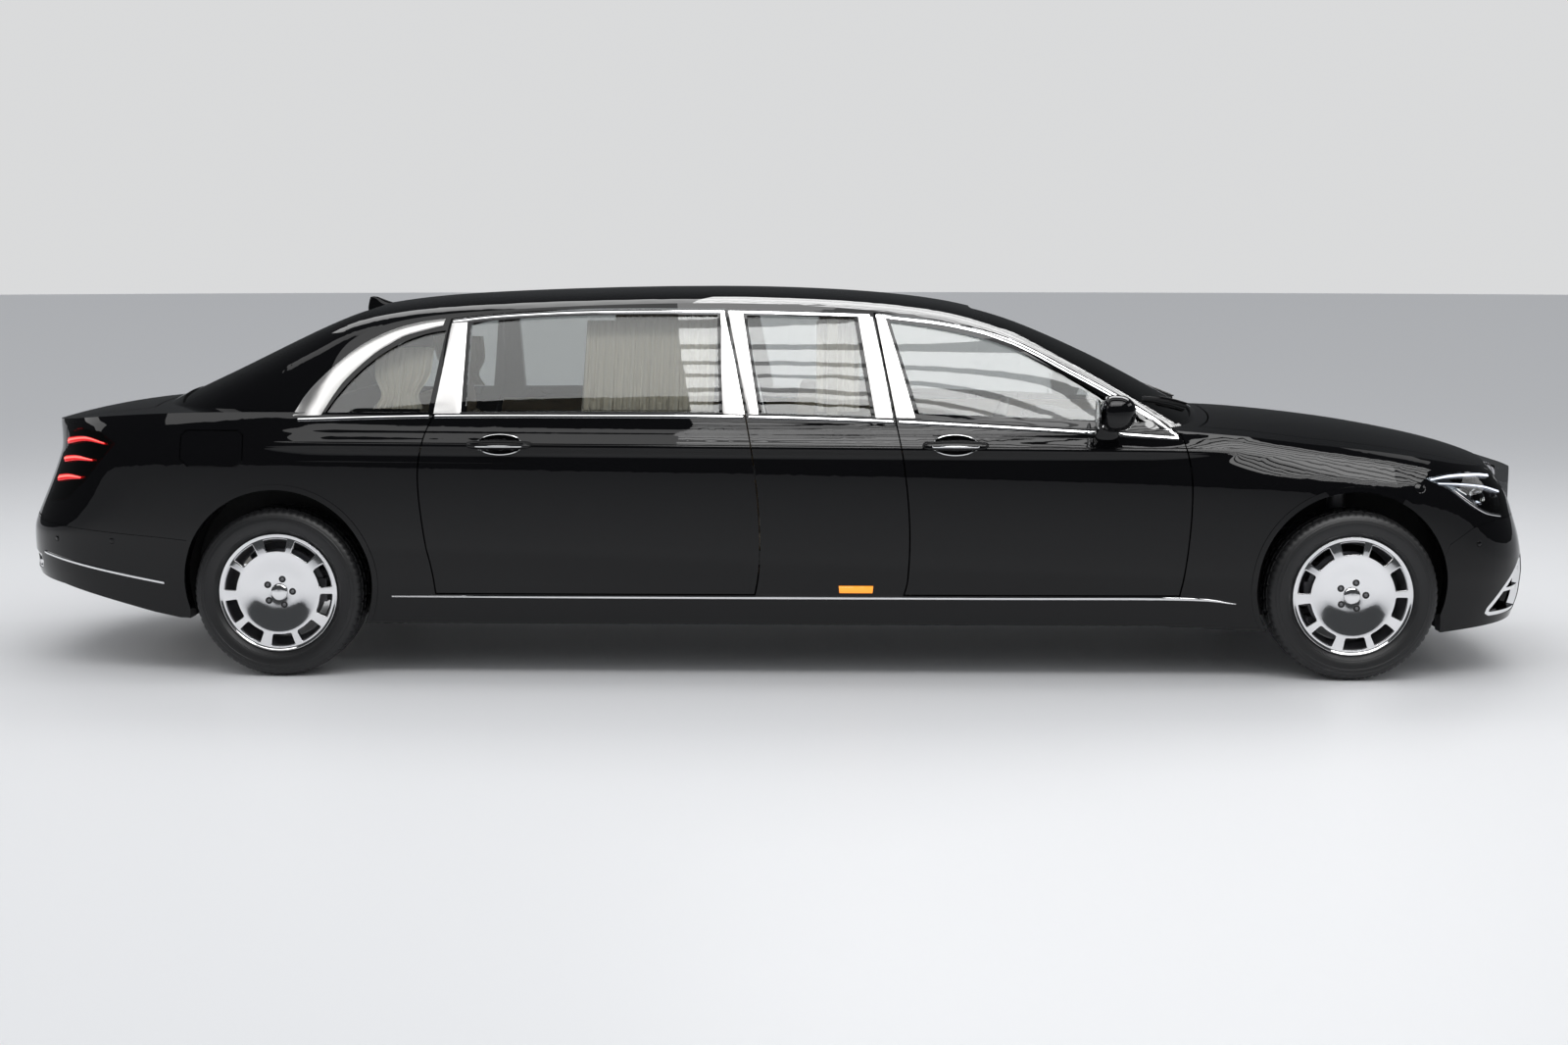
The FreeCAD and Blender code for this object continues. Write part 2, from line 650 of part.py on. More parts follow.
def door_block(front_shares, top_shares, rear_shares, gap):
    """The block that a door takes up, grown by a gap; its latch side is slanted."""
    foot = Vector(-length, 0, sill_top_z - gap)
    upper = [p + Vector(0, 0, gap) for p in side(top_shares)]
    front_edge = side(front_shares, gap)
    front_edge = [front_edge[0] - Vector(0, 0, gap)] + front_edge[1:-1] + [upper[0]]
    body = across(region(front_edge, upper, [Vector(-length, 0, upper[-1].z)], [foot]),
                  y_to=gap - door_inner_y)
    latch = slanted(side(rear_shares, -gap))
    step = Vector(0, 0, overrun)
    ahead = [Vector(length, 0, latch[-1].z - overrun), Vector(length, 0, latch[0].z + overrun)]
    return body.common(across(region(latch, [latch[-1] - step], ahead, [latch[0] + step]),
                              slant=slant))


glass_outer = body_block(*[glass_inset] * 4)
glass_inner = body_block(*[glass_inset + glass_thickness] * 4)


def pane(window):
    """A sheet of glass that fills a side window."""
    return biggest(across(window).common(glass_outer).cut(glass_inner))


door_tables = {
    "front": (front_door_front_shares, front_door_top_shares, front_door_rear_shares,
              region(side(front_window_shares), side(front_window_top_shares))),
    "rear": (rear_door_front_shares, rear_door_top_shares, rear_door_rear_shares,
             region(side(rear_window_pane_shares), side(rear_window_top_shares))),
}
door_panels = {}
openings = []
for name, (front_shares, top_shares, rear_shares, window) in door_tables.items():
    openings.append(door_block(front_shares, top_shares, rear_shares, 0.0))
    panel = shell.common(door_block(front_shares, top_shares, rear_shares, -shut_gap))
    near_block = door_block(front_shares, top_shares, rear_shares, -seat_gap)
    hinge_x = side(front_shares)[2].x
    leaves = []
    for share in hinge_height_shares:
        z = share * height
        leaf_y = skin_y(hinge_x, z) + door_wall
        space = box(hinge_x - leaf_length, hinge_x + leaf_length, leaf_y - leaf_thickness,
                    leaf_y - leaf_inset, z - leaf_half_width, z + leaf_half_width)
        leaves.append(shell.common(near_block).common(space))
    door_panels[name] = biggest(panel.cut(across(window)).multiFuse(leaves))
    keep_both("door_glass_" + name, pane(window))
for opening in openings:
    shell = shell.cut(both(opening))

# The fixed side glass.
quarter_points = side(quarter_window_shares)
panes = []
for window in (polygon(side(middle_window_shares)),
               region(quarter_points[:2], quarter_points[1:])):
    panes.append(pane(window))
    shell = shell.cut(both(across(window)))
keep("side_glass_fixed", group(*[both(p) for p in panes]))


def both_sides(shares_list, gap=0.0):
    """A top-view face from right-half outlines, grown by a gap all round."""
    right = [plan(shares) for shares in shares_list]
    left = [[Vector(p.x, -p.y, 0) for p in piece[::-1]] for piece in right[::-1]]
    return region(*[grown(piece, right + left, gap) for piece in right + left])


# The windscreen and the rear window.
screens = {
    "windscreen": (screen_side_shares, screen_pillar_shares, screen_top_shares),
    "rear_window": (backlight_base_shares, backlight_side_shares, backlight_top_shares),
}
sheet = lid_solid(roof_shares, glass_inset, roof_edge_drop).cut(
    lid_solid(roof_shares, glass_inset + glass_thickness, roof_edge_drop))
for name, shares_list in screens.items():
    block = upward(both_sides(shares_list), wheel_z)
    keep(name, biggest(sheet.common(block)))
    shell = shell.cut(block)

# The grille: a frame with upright bars that stand behind its front.
grille_points = front(grille_shares)
profile = side(grille_profile_shares)
grille_form = across(region(profile[:-1], profile[-1:]), -half_width, half_width)
plan_centre = Vector(profile[4].x - grille_plan_radius, 0, 0)
grille_form = grille_form.common(Part.makeCylinder(grille_plan_radius, height, plan_centre))


def set_back(amount):
    """The grille's form, moved back."""
    form = grille_form.copy()
    form.translate(Vector(-amount, 0, 0))
    return form


grille_x = front_axle_x + arch_radius
opening = lengthwise(grown_polygon(grille_points, -grille_frame_width), grille_x, length)
grille_block = lengthwise(polygon(grille_points), grille_x, length)
frame = grille_form.cut(set_back(grille_depth)).common(grille_block).cut(opening)
bars = []
half_bar = grille_bar_width / 2
reach = max(abs(p.y) for p in grille_points)
for k in range(grille_bar_count):
    y = reach * (2 * (k + 1) / (grille_bar_count + 1) - 1)
    bars.append(box(grille_x, length, y - half_bar, y + half_bar, 0, height))
bar_space = lengthwise(grown_polygon(grille_points, -grille_frame_width / 2), grille_x, length)
bar_layer = set_back(grille_bar_set).cut(set_back(grille_bar_set + grille_bar_depth))
bars = group(*bars).common(bar_layer).common(bar_space)
keep("grille", biggest(frame.multiFuse(bars.Solids)))

# The bonnet and the boot lid, each with a gap all round.
lids = {
    "bonnet": ((bonnet_rear_shares, bonnet_side_shares, bonnet_front_shares,
                bonnet_nose_shares), bonnet_low_share * height),
    "boot_lid": ((boot_front_shares, boot_corner_shares, boot_side_shares),
                 tail_split_share * height),
}


def deck_z(share_x, share_y):
    """The deck's height at a place, read from its table."""
    places, tops, drops, edges = zip(*deck_shares)
    top = read(share_x, places, tops)
    return (top - read(share_x, places, drops) * share_y ** 2) * height


for name, (shares_list, low_z) in lids.items():
    panel = shell.common(upward(both_sides(shares_list, -shut_gap), low_z + shut_gap))
    share_x, share_y = lid_leaf_shares[name]
    x = share_x * half_length
    y = -share_y * half_width
    leaf_z = deck_z(share_x, share_y) - deck_wall
    space = box(x - leaf_length / 2, x + leaf_length / 2, y - leaf_half_width / 2,
                y + leaf_half_width / 2, leaf_z + leaf_inset, leaf_z + leaf_thickness)
    near_block = upward(both_sides(shares_list, -seat_gap), low_z)
    leaf = shell.common(near_block).common(both(space))
    keep(name, biggest(panel.fuse(leaf)))
    shell = shell.cut(upward(both_sides(shares_list), low_z))
grille_room = lengthwise(grown_polygon(grille_points, shut_gap), profile[0].x - 2 * shut_gap,
                         length)
keep("bonnet", biggest(pieces["bonnet"].cut(grille_room)))
shell = shell.cut(grille_block)
recess = lengthwise(polygon(front(plate_recess_shares)), -length, 0)
keep("boot_lid", biggest(pieces["boot_lid"].cut(near_skin(recess, plate_recess_depth))))

# The lamps: a clear lens over a bowl, with round units in front and bars behind.
projectors = []
for share_x, share_y, share_z in projector_place_shares:
    way = Vector(projector_length, -projector_length * projector_turn, 0)
    centre = Vector(share_x * half_length, -share_y * half_width, share_z * height)
    projectors.append(rod(centre - way, centre + way, projector_radius))
tail_bars = [box(-length, 0, -width, 0, low * height, high * height)
             for low, high in tail_bar_shares]
lamps = {"headlamps": (headlamp_shares, headlamp_inner_y, projectors),
         "tail_lamps": (tail_lamp_shares, tail_lamp_inner_y, tail_bars)}
lamp_blocks = []
lamp_units = []
for name, (shares, inner_y, lights) in lamps.items():
    points = side(shares)
    block = across(polygon(points), y_to=-inner_y)
    lamp_blocks.append(both(block))
    held = biggest(shell.common(block))
    room = held.common(girdle_solid(lens_thickness))
    keep(name, both(biggest(held.cut(girdle_solid(lens_thickness)))))
    bowl = room.common(girdle_solid(lamp_depth))
    hole = across(grown_polygon(points, -2 * lens_thickness), y_to=-inner_y - 2 * lens_thickness)
    lights = [room.common(girdle_solid(2 * lens_thickness)).common(group(*lights))]
    lamp_units.append(both(biggest(bowl.multiFuse([room.cut(hole)] + lights))))
keep("lamp_units", group(*lamp_units))
shell = shell.cut(group(*lamp_blocks))

# The bumpers with their intakes, and the bright frames set in them.
frames = []
intake = side(side_intake_shares)
intake_block = across(polygon(intake), y_to=-intake_inner_y)
intake_hole = across(grown_polygon(intake, -intake_frame_width),
                     y_to=-intake_inner_y - intake_frame_width)
bars = [box(0, length, -width, 0, low * height, high * height)
        for low, high in intake_bar_shares]
frames.append(near_skin(intake_block.cut(intake_hole), intake_depth / 2, -arch_lip_height))
frames.append(near_skin(intake_hole.common(group(*bars)), intake_depth / 2, seam_depth))
intake_frame = frames[0].fuse(frames[1])
exhaust_points = [Vector(0, -y * half_width, z * height) for y, z in exhaust_trim_shares]
trim_block = lengthwise(polygon(exhaust_points), -length, 0)
trim_hole = lengthwise(grown_polygon(exhaust_points, -bumper_frame_width), -length, 0)
exhaust_frame = near_skin(trim_block.cut(trim_hole), intake_depth / 2, -arch_lip_height)
keep("bumper_frames", group(both(biggest(intake_frame)), both(biggest(exhaust_frame))))
low_intake = lengthwise(polygon(front(low_intake_shares)), 0, length)
pockets = group(*[near_skin(tool, depth) for tool, depth in (
    (both(intake_block), intake_depth), (low_intake, intake_depth),
    (both(trim_block), intake_depth))])
bore = rod(Vector(-length, -tip_y, tip_z), Vector(rear_axle_x, -tip_y, tip_z),
           tip_radius + running_gap)
for name, shares in (("front_bumper", front_bumper_shares),
                     ("rear_bumper", rear_bumper_shares)):
    bumper = take(across(polygon(side(shares)), -width, width))
    keep(name, biggest(bumper.cut(group(pockets, both(bore)))))

# The roof, the rear quarters, the front fenders, and the side frames with the sills.
door_top = side(front_door_top_shares) + side(rear_door_top_shares)
roof_front_x = screen_side_shares[0][0] * half_length + door_wall
roof_rear_x = backlight_side_shares[-1][0] * half_length
roof_rear_z = door_top[-1].z - door_wall
roof_outline = ([Vector(roof_front_x, 0, door_top[0].z + 2 * door_wall)] + door_top
                + [Vector(roof_rear_x, 0, roof_rear_z), Vector(roof_rear_x, 0, 2 * height),
                   Vector(roof_front_x, 0, 2 * height)])
keep("roof", biggest(take(across(polygon(roof_outline), -width, width))))
front_x = side(front_door_front_shares)[0].x - door_wall
rear_x = side(rear_door_rear_shares)[0].x + door_wall
fenders = take(box(front_x, length, -width, width, sill_top_z, 2 * height))
quarters = take(box(-length, rear_x, -width, width, sill_top_z, 2 * height))
keep("side_frames", biggest(shell, 2))


# Grooves where the fixed panels meet, and round the fuel flap.
def groove(points, way):
    """A thin block along a line in the side view."""
    return polygon([p - way for p in points] + [p + way for p in points[::-1]])


flap = side(fuel_flap_shares)
flap_ring = across(grown_polygon(flap, seam_width)).cut(across(polygon(flap)))
flap_ring = near_skin(flap_ring, seam_depth)
lift = Vector(0, 0, seam_width / 2)
tail_seam = near_skin(both(across(groove(side(rear_bumper_shares[1:5]), lift))), seam_depth)
nose_seam = near_skin(both(across(groove(side(front_bumper_shares[2:7]), lift))), seam_depth)
keep("rear_quarters", biggest(quarters.cut(group(flap_ring, tail_seam))))
keep("front_fenders", biggest(fenders.cut(nose_seam)))

# The platform: floor, tunnel, firewall, rear bulkhead, front rails and radiator.
floor_z = 222.0
floor_thickness = 50.0
firewall_x = 1790.0
firewall_top_z = 960.0
bulkhead_x = -1960.0
plate_thickness = 30.0
floor_rear_x = -2950.0
rail_y = 385.0
rail_z = 430.0
rail_height = 110.0
rail_front_x = 3060.0
radiator_thickness = 25.0
radiator_low_z = 300.0
radiator_top_z = 790.0
axle_slot = 240.0
axle_slot_top_z = 580.0
kick_x = -1520.0
rear_floor_z = 545.0
tunnel_half_width = 170.0
tunnel_top_z = 330.0
ceiling_z = height - 2 * tyre_width
rail_outer_y = front_house_inner_y - house_wall
tow_eye_radius = 9.0
tow_eye_depth = 70.0
cavity = inner.common(above_ground)


def inside(x_from, x_to, z_from, z_to):
    """A plate that fills the cavity from side to side."""
    return cavity.common(box(x_from, x_to, -width, width, z_from, z_to))


tunnel = box(kick_x, firewall_x, -tunnel_half_width, tunnel_half_width, floor_z, tunnel_top_z)
tunnel_hollow = box(kick_x - plate_thickness, firewall_x + plate_thickness,
                    plate_thickness - tunnel_half_width, tunnel_half_width - plate_thickness,
                    floor_z, tunnel_top_z - plate_thickness)
rear_floor_top_z = rear_floor_z + plate_thickness
plates = [
    tunnel,
    inside(kick_x - plate_thickness, kick_x, floor_z, rear_floor_top_z),
    inside(floor_rear_x, kick_x, rear_floor_z, rear_floor_top_z),
    inside(bulkhead_x, bulkhead_x + plate_thickness, rear_floor_z, ceiling_z),
    inside(firewall_x, firewall_x + plate_thickness, floor_z, firewall_top_z),
    box(rail_front_x, rail_front_x + radiator_thickness, -rail_y, rail_y, radiator_low_z,
        radiator_top_z),
]
eyes = []
slots = []
for sign in (-1, 1):
    plates.append(box(firewall_x, rail_front_x + radiator_thickness,
                      *span(sign, rail_y, rail_outer_y), rail_z, rail_z + rail_height))
    eye_y = sign * (rail_y + rail_outer_y) / 2
    eyes.append(Part.makeCylinder(
        tow_eye_radius, tow_eye_depth,
        Vector(rail_front_x + radiator_thickness - tow_eye_depth, eye_y,
               rail_z + rail_height / 2), Vector(1, 0, 0)))
    for x in (front_axle_x, rear_axle_x):
        slots.append(box(x - axle_slot, x + axle_slot, *span(sign, rail_outer_y, half_width),
                         0, axle_slot_top_z))
front_floor = inside(kick_x, firewall_x, floor_z, floor_z + floor_thickness)
house_blocks = [skin for skin, hollow in houses]
platform = front_floor.multiFuse(plates).cut(group(*house_blocks, *slots, *eyes, tunnel_hollow))
keep("platform", biggest(platform))
liners = [skin.common(cavity).cut(hollow) for skin, hollow in houses]
keep("wheel_houses", group(*[biggest(liner.cut(group(*slots))) for liner in liners]))

# The wheels: tyre and rim.
bead_radius = 232.0
bead_gap = 0.3
tyre_wall = 14.0
tyre_facets = 52
sidewall_radius_share = 0.835
shoulder_drop_share = 0.04
tread_half_width_share = 0.43
crown_half_width_share = 0.34
rim_half_width = 100.0
rim_wall = 8.0
rim_well_radius = 205.0
disc_face = 100.0
disc_wall = 16.0
disc_dish = 18.0
hub_radius = 80.0
brake_radius = 172.0
brake_face = 2.0
brake_thickness = 28.0
spindle_radius = 24.0
spindle_length = 40.0
window_count = 5
window_inner_radius = 176.0
window_outer_radius = 214.0
window_width_degrees = 26.0
narrow_spoke_degrees = 8.0
first_spoke_degrees = 75.0
bolt_circle_radius = 56.0
bolt_recess_radius = 15.0
bolt_recess_depth = 14.0


def spun(points, centre):
    """A solid spun about the wheel's axis from points given as radius and side offset."""
    x, y, z = centre
    flat = [Vector(x, y + s, z + r) for r, s in points]
    face = polygon(flat)
    return face.revolve(Vector(x, y, z), Vector(0, 1, 0), 360)


def facetted_tyre():
    """A hollow tyre of flat facets about the origin, standing on one of its corners."""
    top = tyre_diameter / 2
    half = tyre_width / 2
    seat = rim_half_width - rim_wall - bead_gap
    bead = seat - rim_wall
    foot = (bead_radius + bead_gap) / math.cos(math.pi / tyre_facets)
    rim_edge = (rim_diameter / 2 + bead_gap) / math.cos(math.pi / tyre_facets)
    tread = tread_half_width_share * tyre_width
    crown = crown_half_width_share * tyre_width
    wall_top = top * (1 - shoulder_drop_share)
    belly = sidewall_radius_share * top
    outside = [(foot, bead), (rim_edge, seat), (belly, half), (wall_top, tread), (top, crown)]
    hollow = [(foot, bead - tyre_wall), (top - tyre_wall, crown)]
    profile = (outside + [(r, -s) for r, s in outside[::-1]] + [(r, -s) for r, s in hollow]
               + hollow[::-1])
    turns = [math.radians(360.0 * k / tyre_facets) for k in range(tyre_facets)]
    rings = [[Vector(r * math.sin(a), s, -r * math.cos(a)) for r, s in profile] for a in turns]
    faces = []
    count = len(profile)
    for k, ring in enumerate(rings):
        after = rings[(k + 1) % tyre_facets]
        for i in range(count):
            j = (i + 1) % count
            faces.append(polygon([ring[i], ring[j], after[j], after[i]]))
    skin = Part.Shell(faces)
    skin.sewShape()
    solid = Part.Solid(skin)
    if solid.Volume < 0:
        solid.reverse()
    return solid


def rim(out):
    """A rim with its pierced disc, hub and brake disc, about the origin."""
    centre = (0, 0, 0)
    flange = rim_diameter / 2
    well = rim_well_radius
    half = rim_half_width
    seat = bead_radius - rim_wall
    barrel = spun([(flange, -half), (flange, rim_wall - half), (bead_radius, 2 * rim_wall - half),
                   (bead_radius, -half / 3), (well + rim_wall, 0),
                   (well + rim_wall, half / 3), (bead_radius, half / 2),
                   (bead_radius, half - 2 * rim_wall), (flange, half - rim_wall), (flange, half),
                   (seat, half), (seat, half / 2), (well, half / 3), (well, 0),
                   (seat, -half / 3), (seat, -half)], centre)
    barrel = barrel if out > 0 else mirrored(barrel)
    face = disc_face - disc_dish
    edge = bead_radius - rim_wall / 2
    disc = spun([(0, out * (face - disc_wall)), (0, out * face), (hub_radius, out * face),
                 (window_inner_radius - disc_wall, out * disc_face),
                 (edge, out * (disc_face - rim_wall)),
                 (edge, out * (disc_face - rim_wall - disc_wall)),
                 (window_inner_radius - disc_wall, out * (disc_face - disc_wall)),
                 (hub_radius, out * (face - disc_wall))], centre)
    hub = spun([(0, out * brake_face), (0, out * (face - disc_wall)),
                (hub_radius, out * (face - disc_wall)), (hub_radius, out * brake_face)], centre)
    brake = spun([(0, out * brake_face), (0, out * (brake_face - brake_thickness)),
                  (brake_radius, out * (brake_face - brake_thickness)),
                  (brake_radius, out * brake_face)], centre)
    cuts = []
    pitch = 360.0 / window_count
    y_from = max(0, out * 2 * disc_face)
    for k in range(window_count):
        spoke = first_spoke_degrees + k * pitch
        for start in (narrow_spoke_degrees / 2, -narrow_spoke_degrees / 2 - window_width_degrees):
            block = Part.makeCylinder(window_outer_radius, 2 * disc_face, Vector(0, 0, 0),
                                      Vector(0, 0, 1), window_width_degrees)
            cut = block.cut(Part.makeCylinder(window_inner_radius, 2 * disc_face))
            cut.rotate(Vector(0, 0, 0), Vector(0, 0, 1), spoke + start)
            cut.rotate(Vector(0, 0, 0), Vector(1, 0, 0), 90)
            cut.translate(Vector(0, y_from, 0))
            cuts.append(cut)
        bolt = math.radians(spoke)
        cuts.append(bar_across(bolt_circle_radius * math.cos(bolt),
                               bolt_circle_radius * math.sin(bolt), bolt_recess_radius,
                               out * (face - bolt_recess_depth), out * 2 * disc_face))
    cuts.append(bar_across(0, 0, spindle_radius + seat_gap, -out * brake_thickness,
                           out * spindle_length))
    return barrel.multiFuse([disc, hub, brake]).cut(group(*cuts))


tyre = facetted_tyre()
rims = {out: rim(out) for out in (-1, 1)}
corners = (("front_right", front_axle_x, -1), ("front_left", front_axle_x, 1),
           ("rear_right", rear_axle_x, -1), ("rear_left", rear_axle_x, 1))
for name, x, out in corners:
    for kind, shape in (("tyre_", tyre), ("rim_", rims[out])):
        wheel = shape.copy()
        wheel.translate(Vector(x, out * wheel_y, wheel_z))
        keep(kind + name, wheel)

# The knuckles and the front suspension.
kingpin_y = 745.0
upright_radius = 26.0
upright_half_height = 135.0
hub_flange_radius = 55.0
pad_radius = 22.0
pad_height = 30.0
lower_arm_radius = 14.0
upper_arm_radius = 12.0
lower_arm_spread = 150.0
upper_arm_spread = 110.0
member_outer_y = 460.0
member_half_length = 60.0
member_z = 195.0
member_height = 60.0
strut_radius = 40.0
strut_y = 560.0
caliper_inner = 112.0
caliper_outer = 184.0
caliper_half_height = 48.0
caliper_wall = 14.0
brake_inner_y = wheel_y + brake_face - brake_thickness
brake_outer_y = wheel_y + brake_face
stub_end_y = brake_inner_y - running_gap
spindle_end_y = wheel_y + spindle_length - seat_gap


def caliper(x, sign, inner_y, rearward):
    """A caliper that straddles the brake disc, with its bracket."""
    body = box(*sorted((x + rearward * caliper_inner, x + rearward * caliper_outer)),
               *span(sign, inner_y, brake_outer_y + running_gap + caliper_wall),
               wheel_z - caliper_half_height, wheel_z + caliper_half_height)
    bracket = box(*sorted((x, x + rearward * (caliper_inner + caliper_wall))),
                  *span(sign, inner_y, stub_end_y),
                  wheel_z - upright_radius, wheel_z + upright_radius)
    slot = bar_across(x, wheel_z, brake_radius + running_gap, sign * stub_end_y,
                      sign * (brake_outer_y + running_gap))
    return body.fuse(bracket).cut(slot)


upright = Part.makeCylinder(upright_radius, 2 * upright_half_height,
                            Vector(front_axle_x, -kingpin_y, wheel_z - upright_half_height))
flange = bar_across(front_axle_x, wheel_z, hub_flange_radius, -kingpin_y, -stub_end_y)
spindle = bar_across(front_axle_x, wheel_z, spindle_radius, -kingpin_y, -spindle_end_y)
knuckle = upright.multiFuse([flange, spindle, caliper(front_axle_x, -1, kingpin_y, -1)])
keep_both("knuckle", knuckle)

arm_low_z = wheel_z - upright_half_height - seat_gap
arm_high_z = wheel_z + upright_half_height + seat_gap
x = front_axle_x
front_parts = [box(x - member_half_length, x + member_half_length, -member_outer_y,
                   member_outer_y, member_z, member_z + member_height)]
for sign in (-1, 1):
    pad = Vector(x, sign * kingpin_y, arm_low_z - pad_height)
    low = pad + Vector(0, 0, pad_height / 2)
    high_pad = Vector(x, sign * kingpin_y, arm_high_z)
    high = high_pad + Vector(0, 0, pad_height / 2)
    strut = Part.makeCylinder(strut_radius, height, Vector(x, sign * strut_y, low.z))
    front_parts += [
        Part.makeCylinder(pad_radius, pad_height, pad),
        Part.makeCylinder(pad_radius, pad_height, high_pad),
        strut.common(hollows),
        box(x - lower_arm_spread - pad_radius, x + lower_arm_spread + pad_radius,
            *span(sign, rail_y, member_outer_y), member_z, member_z + pad_height),
        box(x - upper_arm_spread, x + upper_arm_spread,
            *span(sign, strut_y - strut_radius, strut_y + strut_radius),
            low.z - lower_arm_radius, low.z + lower_arm_radius),
        box(x - member_half_length, x + member_half_length,
            *span(sign, rail_y, member_outer_y), member_z, rail_z),
    ]
    for way in (-1, 1):
        foot = Vector(x + way * lower_arm_spread, sign * member_outer_y, low.z)
        front_parts.append(rod(foot, low, lower_arm_radius))
        foot = Vector(x + way * upper_arm_spread, sign * (front_house_inner_y + pad_radius),
                      high.z)
        front_parts.append(rod(foot, high, upper_arm_radius))
        front_parts.append(box(foot.x - pad_radius, foot.x + pad_radius,
                               *span(sign, front_house_inner_y,
                                     front_house_inner_y + 2 * pad_radius),
                               foot.z - pad_radius, foot.z + pad_radius))
keep("front_suspension", biggest(front_parts[0].multiFuse(front_parts[1:])))

# The rear axle.
differential_radius = 105.0
differential_half_width = 140.0
half_shaft_radius = 22.0
carrier_half_length = 250.0
carrier_y = 420.0
carrier_width = 60.0
carrier_z = 440.0
carrier_height = 70.0
hub_carrier_half_length = 52.0
hub_carrier_half_height = 120.0
hub_carrier_inner_y = 700.0
x = rear_axle_x
carrier = box(x - carrier_half_length, x + carrier_half_length, -carrier_y, carrier_y,
              carrier_z, carrier_z + carrier_height)
carrier_hole = box(x - carrier_half_length + carrier_width, x + carrier_half_length
                   - carrier_width, -carrier_y, carrier_y, 0, height)
rear_parts = [
    bar_across(x, wheel_z, spindle_radius, -spindle_end_y, spindle_end_y),
    carrier.cut(carrier_hole),
    box(x - carrier_half_length, x + carrier_half_length, -half_shaft_radius,
        half_shaft_radius, carrier_z, carrier_z + carrier_height),
    box(x - half_shaft_radius, x + half_shaft_radius, -half_shaft_radius,
        half_shaft_radius, wheel_z, carrier_z),
]
for sign in (-1, 1):
    rear_parts += [
        box(x - carrier_half_length, x + carrier_half_length,
            *span(sign, carrier_y, carrier_y + carrier_width), carrier_z, rear_floor_z),
        box(x - hub_carrier_half_length, x + hub_carrier_half_length,
            *span(sign, hub_carrier_inner_y, kingpin_y),
            wheel_z - hub_carrier_half_height, wheel_z + hub_carrier_half_height),
        bar_across(x, wheel_z, hub_flange_radius, sign * kingpin_y, sign * stub_end_y),
        caliper(x, sign, kingpin_y - caliper_wall, 1),
    ]
    for way in (-1, 1):
        foot = Vector(x + way * (carrier_half_length - pad_radius),
                      sign * (carrier_y + pad_radius), carrier_z)
        end = Vector(x + way * hub_carrier_half_length / 2,
                     sign * (hub_carrier_inner_y + pad_radius),
                     wheel_z - hub_carrier_half_height + pad_radius)
        rear_parts.append(rod(foot, end, lower_arm_radius))
housing = bar_across(x, wheel_z, differential_radius, -differential_half_width,
                     differential_half_width)
keep("rear_axle", biggest(housing.multiFuse(rear_parts)))

# The engine block and the exhaust.
engine_front_x = 2760.0
engine_rear_x = 1900.0
engine_half_width = 300.0
engine_low_z = member_z + member_height
engine_top_z = 860.0
pipe_radius = 30.0
pipe_y = 85.0
pipe_z = 255.0
muffler_front_x = -2430.0
muffler_rear_x = -2900.0
muffler_inner_y = 260.0
muffler_outer_y = 600.0
muffler_z = 300.0
muffler_height = 150.0
hanger_half_width = 14.0
keep("engine", box(engine_rear_x, engine_front_x, -engine_half_width, engine_half_width,
                   engine_low_z, engine_top_z))
bend_x = kick_x - 2 * plate_thickness
exhaust = []
for sign in (-1, 1):
    middle_y = sign * (muffler_inner_y + muffler_outer_y) / 2
    hanger_x = (muffler_front_x + muffler_rear_x) / 2
    route = [Vector(engine_rear_x - seat_gap, sign * pipe_y, pipe_z),
             Vector(bend_x, sign * pipe_y, pipe_z),
             Vector(rear_axle_x + axle_slot, sign * muffler_inner_y, pipe_z),
             Vector(rear_axle_x - axle_slot, sign * muffler_inner_y, pipe_z),
             Vector(muffler_front_x, middle_y, muffler_z + muffler_height / 2)]
    run = [rod(a, b, pipe_radius) for a, b in zip(route, route[1:])]
    run += [Part.makeSphere(pipe_radius, p) for p in route[1:-1]]
    run.append(box(muffler_rear_x, muffler_front_x,
                   *span(sign, muffler_inner_y, muffler_outer_y),
                   muffler_z, muffler_z + muffler_height))
    run.append(box(hanger_x - hanger_half_width, hanger_x + hanger_half_width,
                   middle_y - hanger_half_width, middle_y + hanger_half_width,
                   muffler_z, rear_floor_z - seat_gap))
    run.append(rod(Vector(muffler_rear_x, sign * tip_y, tip_z), Vector(tip_x, sign * tip_y, tip_z),
                   tip_radius))
    exhaust.append(biggest(run[0].multiFuse(run[1:])))
keep("exhaust", group(*exhaust))

# The dashboard and the console.
dash_rear_x = 1180.0
dash_top_z = 985.0
dash_low_z = 560.0
dash_half_width = 700.0
console_half_width = 112.0
console_rear_x = 420.0
console_top_z = 640.0
steer_x = 1010.0
steer_y = 385.0
steer_z = 900.0
steer_tilt_degrees = 24.0
steer_radius = 180.0
steer_rim_radius = 15.0
steer_hub_radius = 60.0
steer_hub_depth = 50.0
column_length = 200.0
column_radius = 30.0
spoke_degrees = (90, 210, 330)
tilt = math.radians(steer_tilt_degrees)
toward_driver = Vector(-math.cos(tilt), 0, math.sin(tilt))
hub_centre = Vector(steer_x, steer_y, steer_z)
column_top = hub_centre - toward_driver * (steer_hub_depth / 2 + seat_gap)
dash = box(dash_rear_x, firewall_x, -dash_half_width, dash_half_width, dash_low_z, dash_top_z)
dash = dash.common(lid_solid(roof_shares, roof_wall + deck_wall, roof_edge_drop))
console = box(console_rear_x, firewall_x, -console_half_width, console_half_width,
              floor_z + floor_thickness, console_top_z)
column = rod(column_top, column_top - toward_driver * column_length, column_radius)
tunnel_block = box(-length, length, -tunnel_half_width, tunnel_half_width, 0, tunnel_top_z)
keep("dashboard", biggest(dash.multiFuse([console, column]).cut(tunnel_block)))

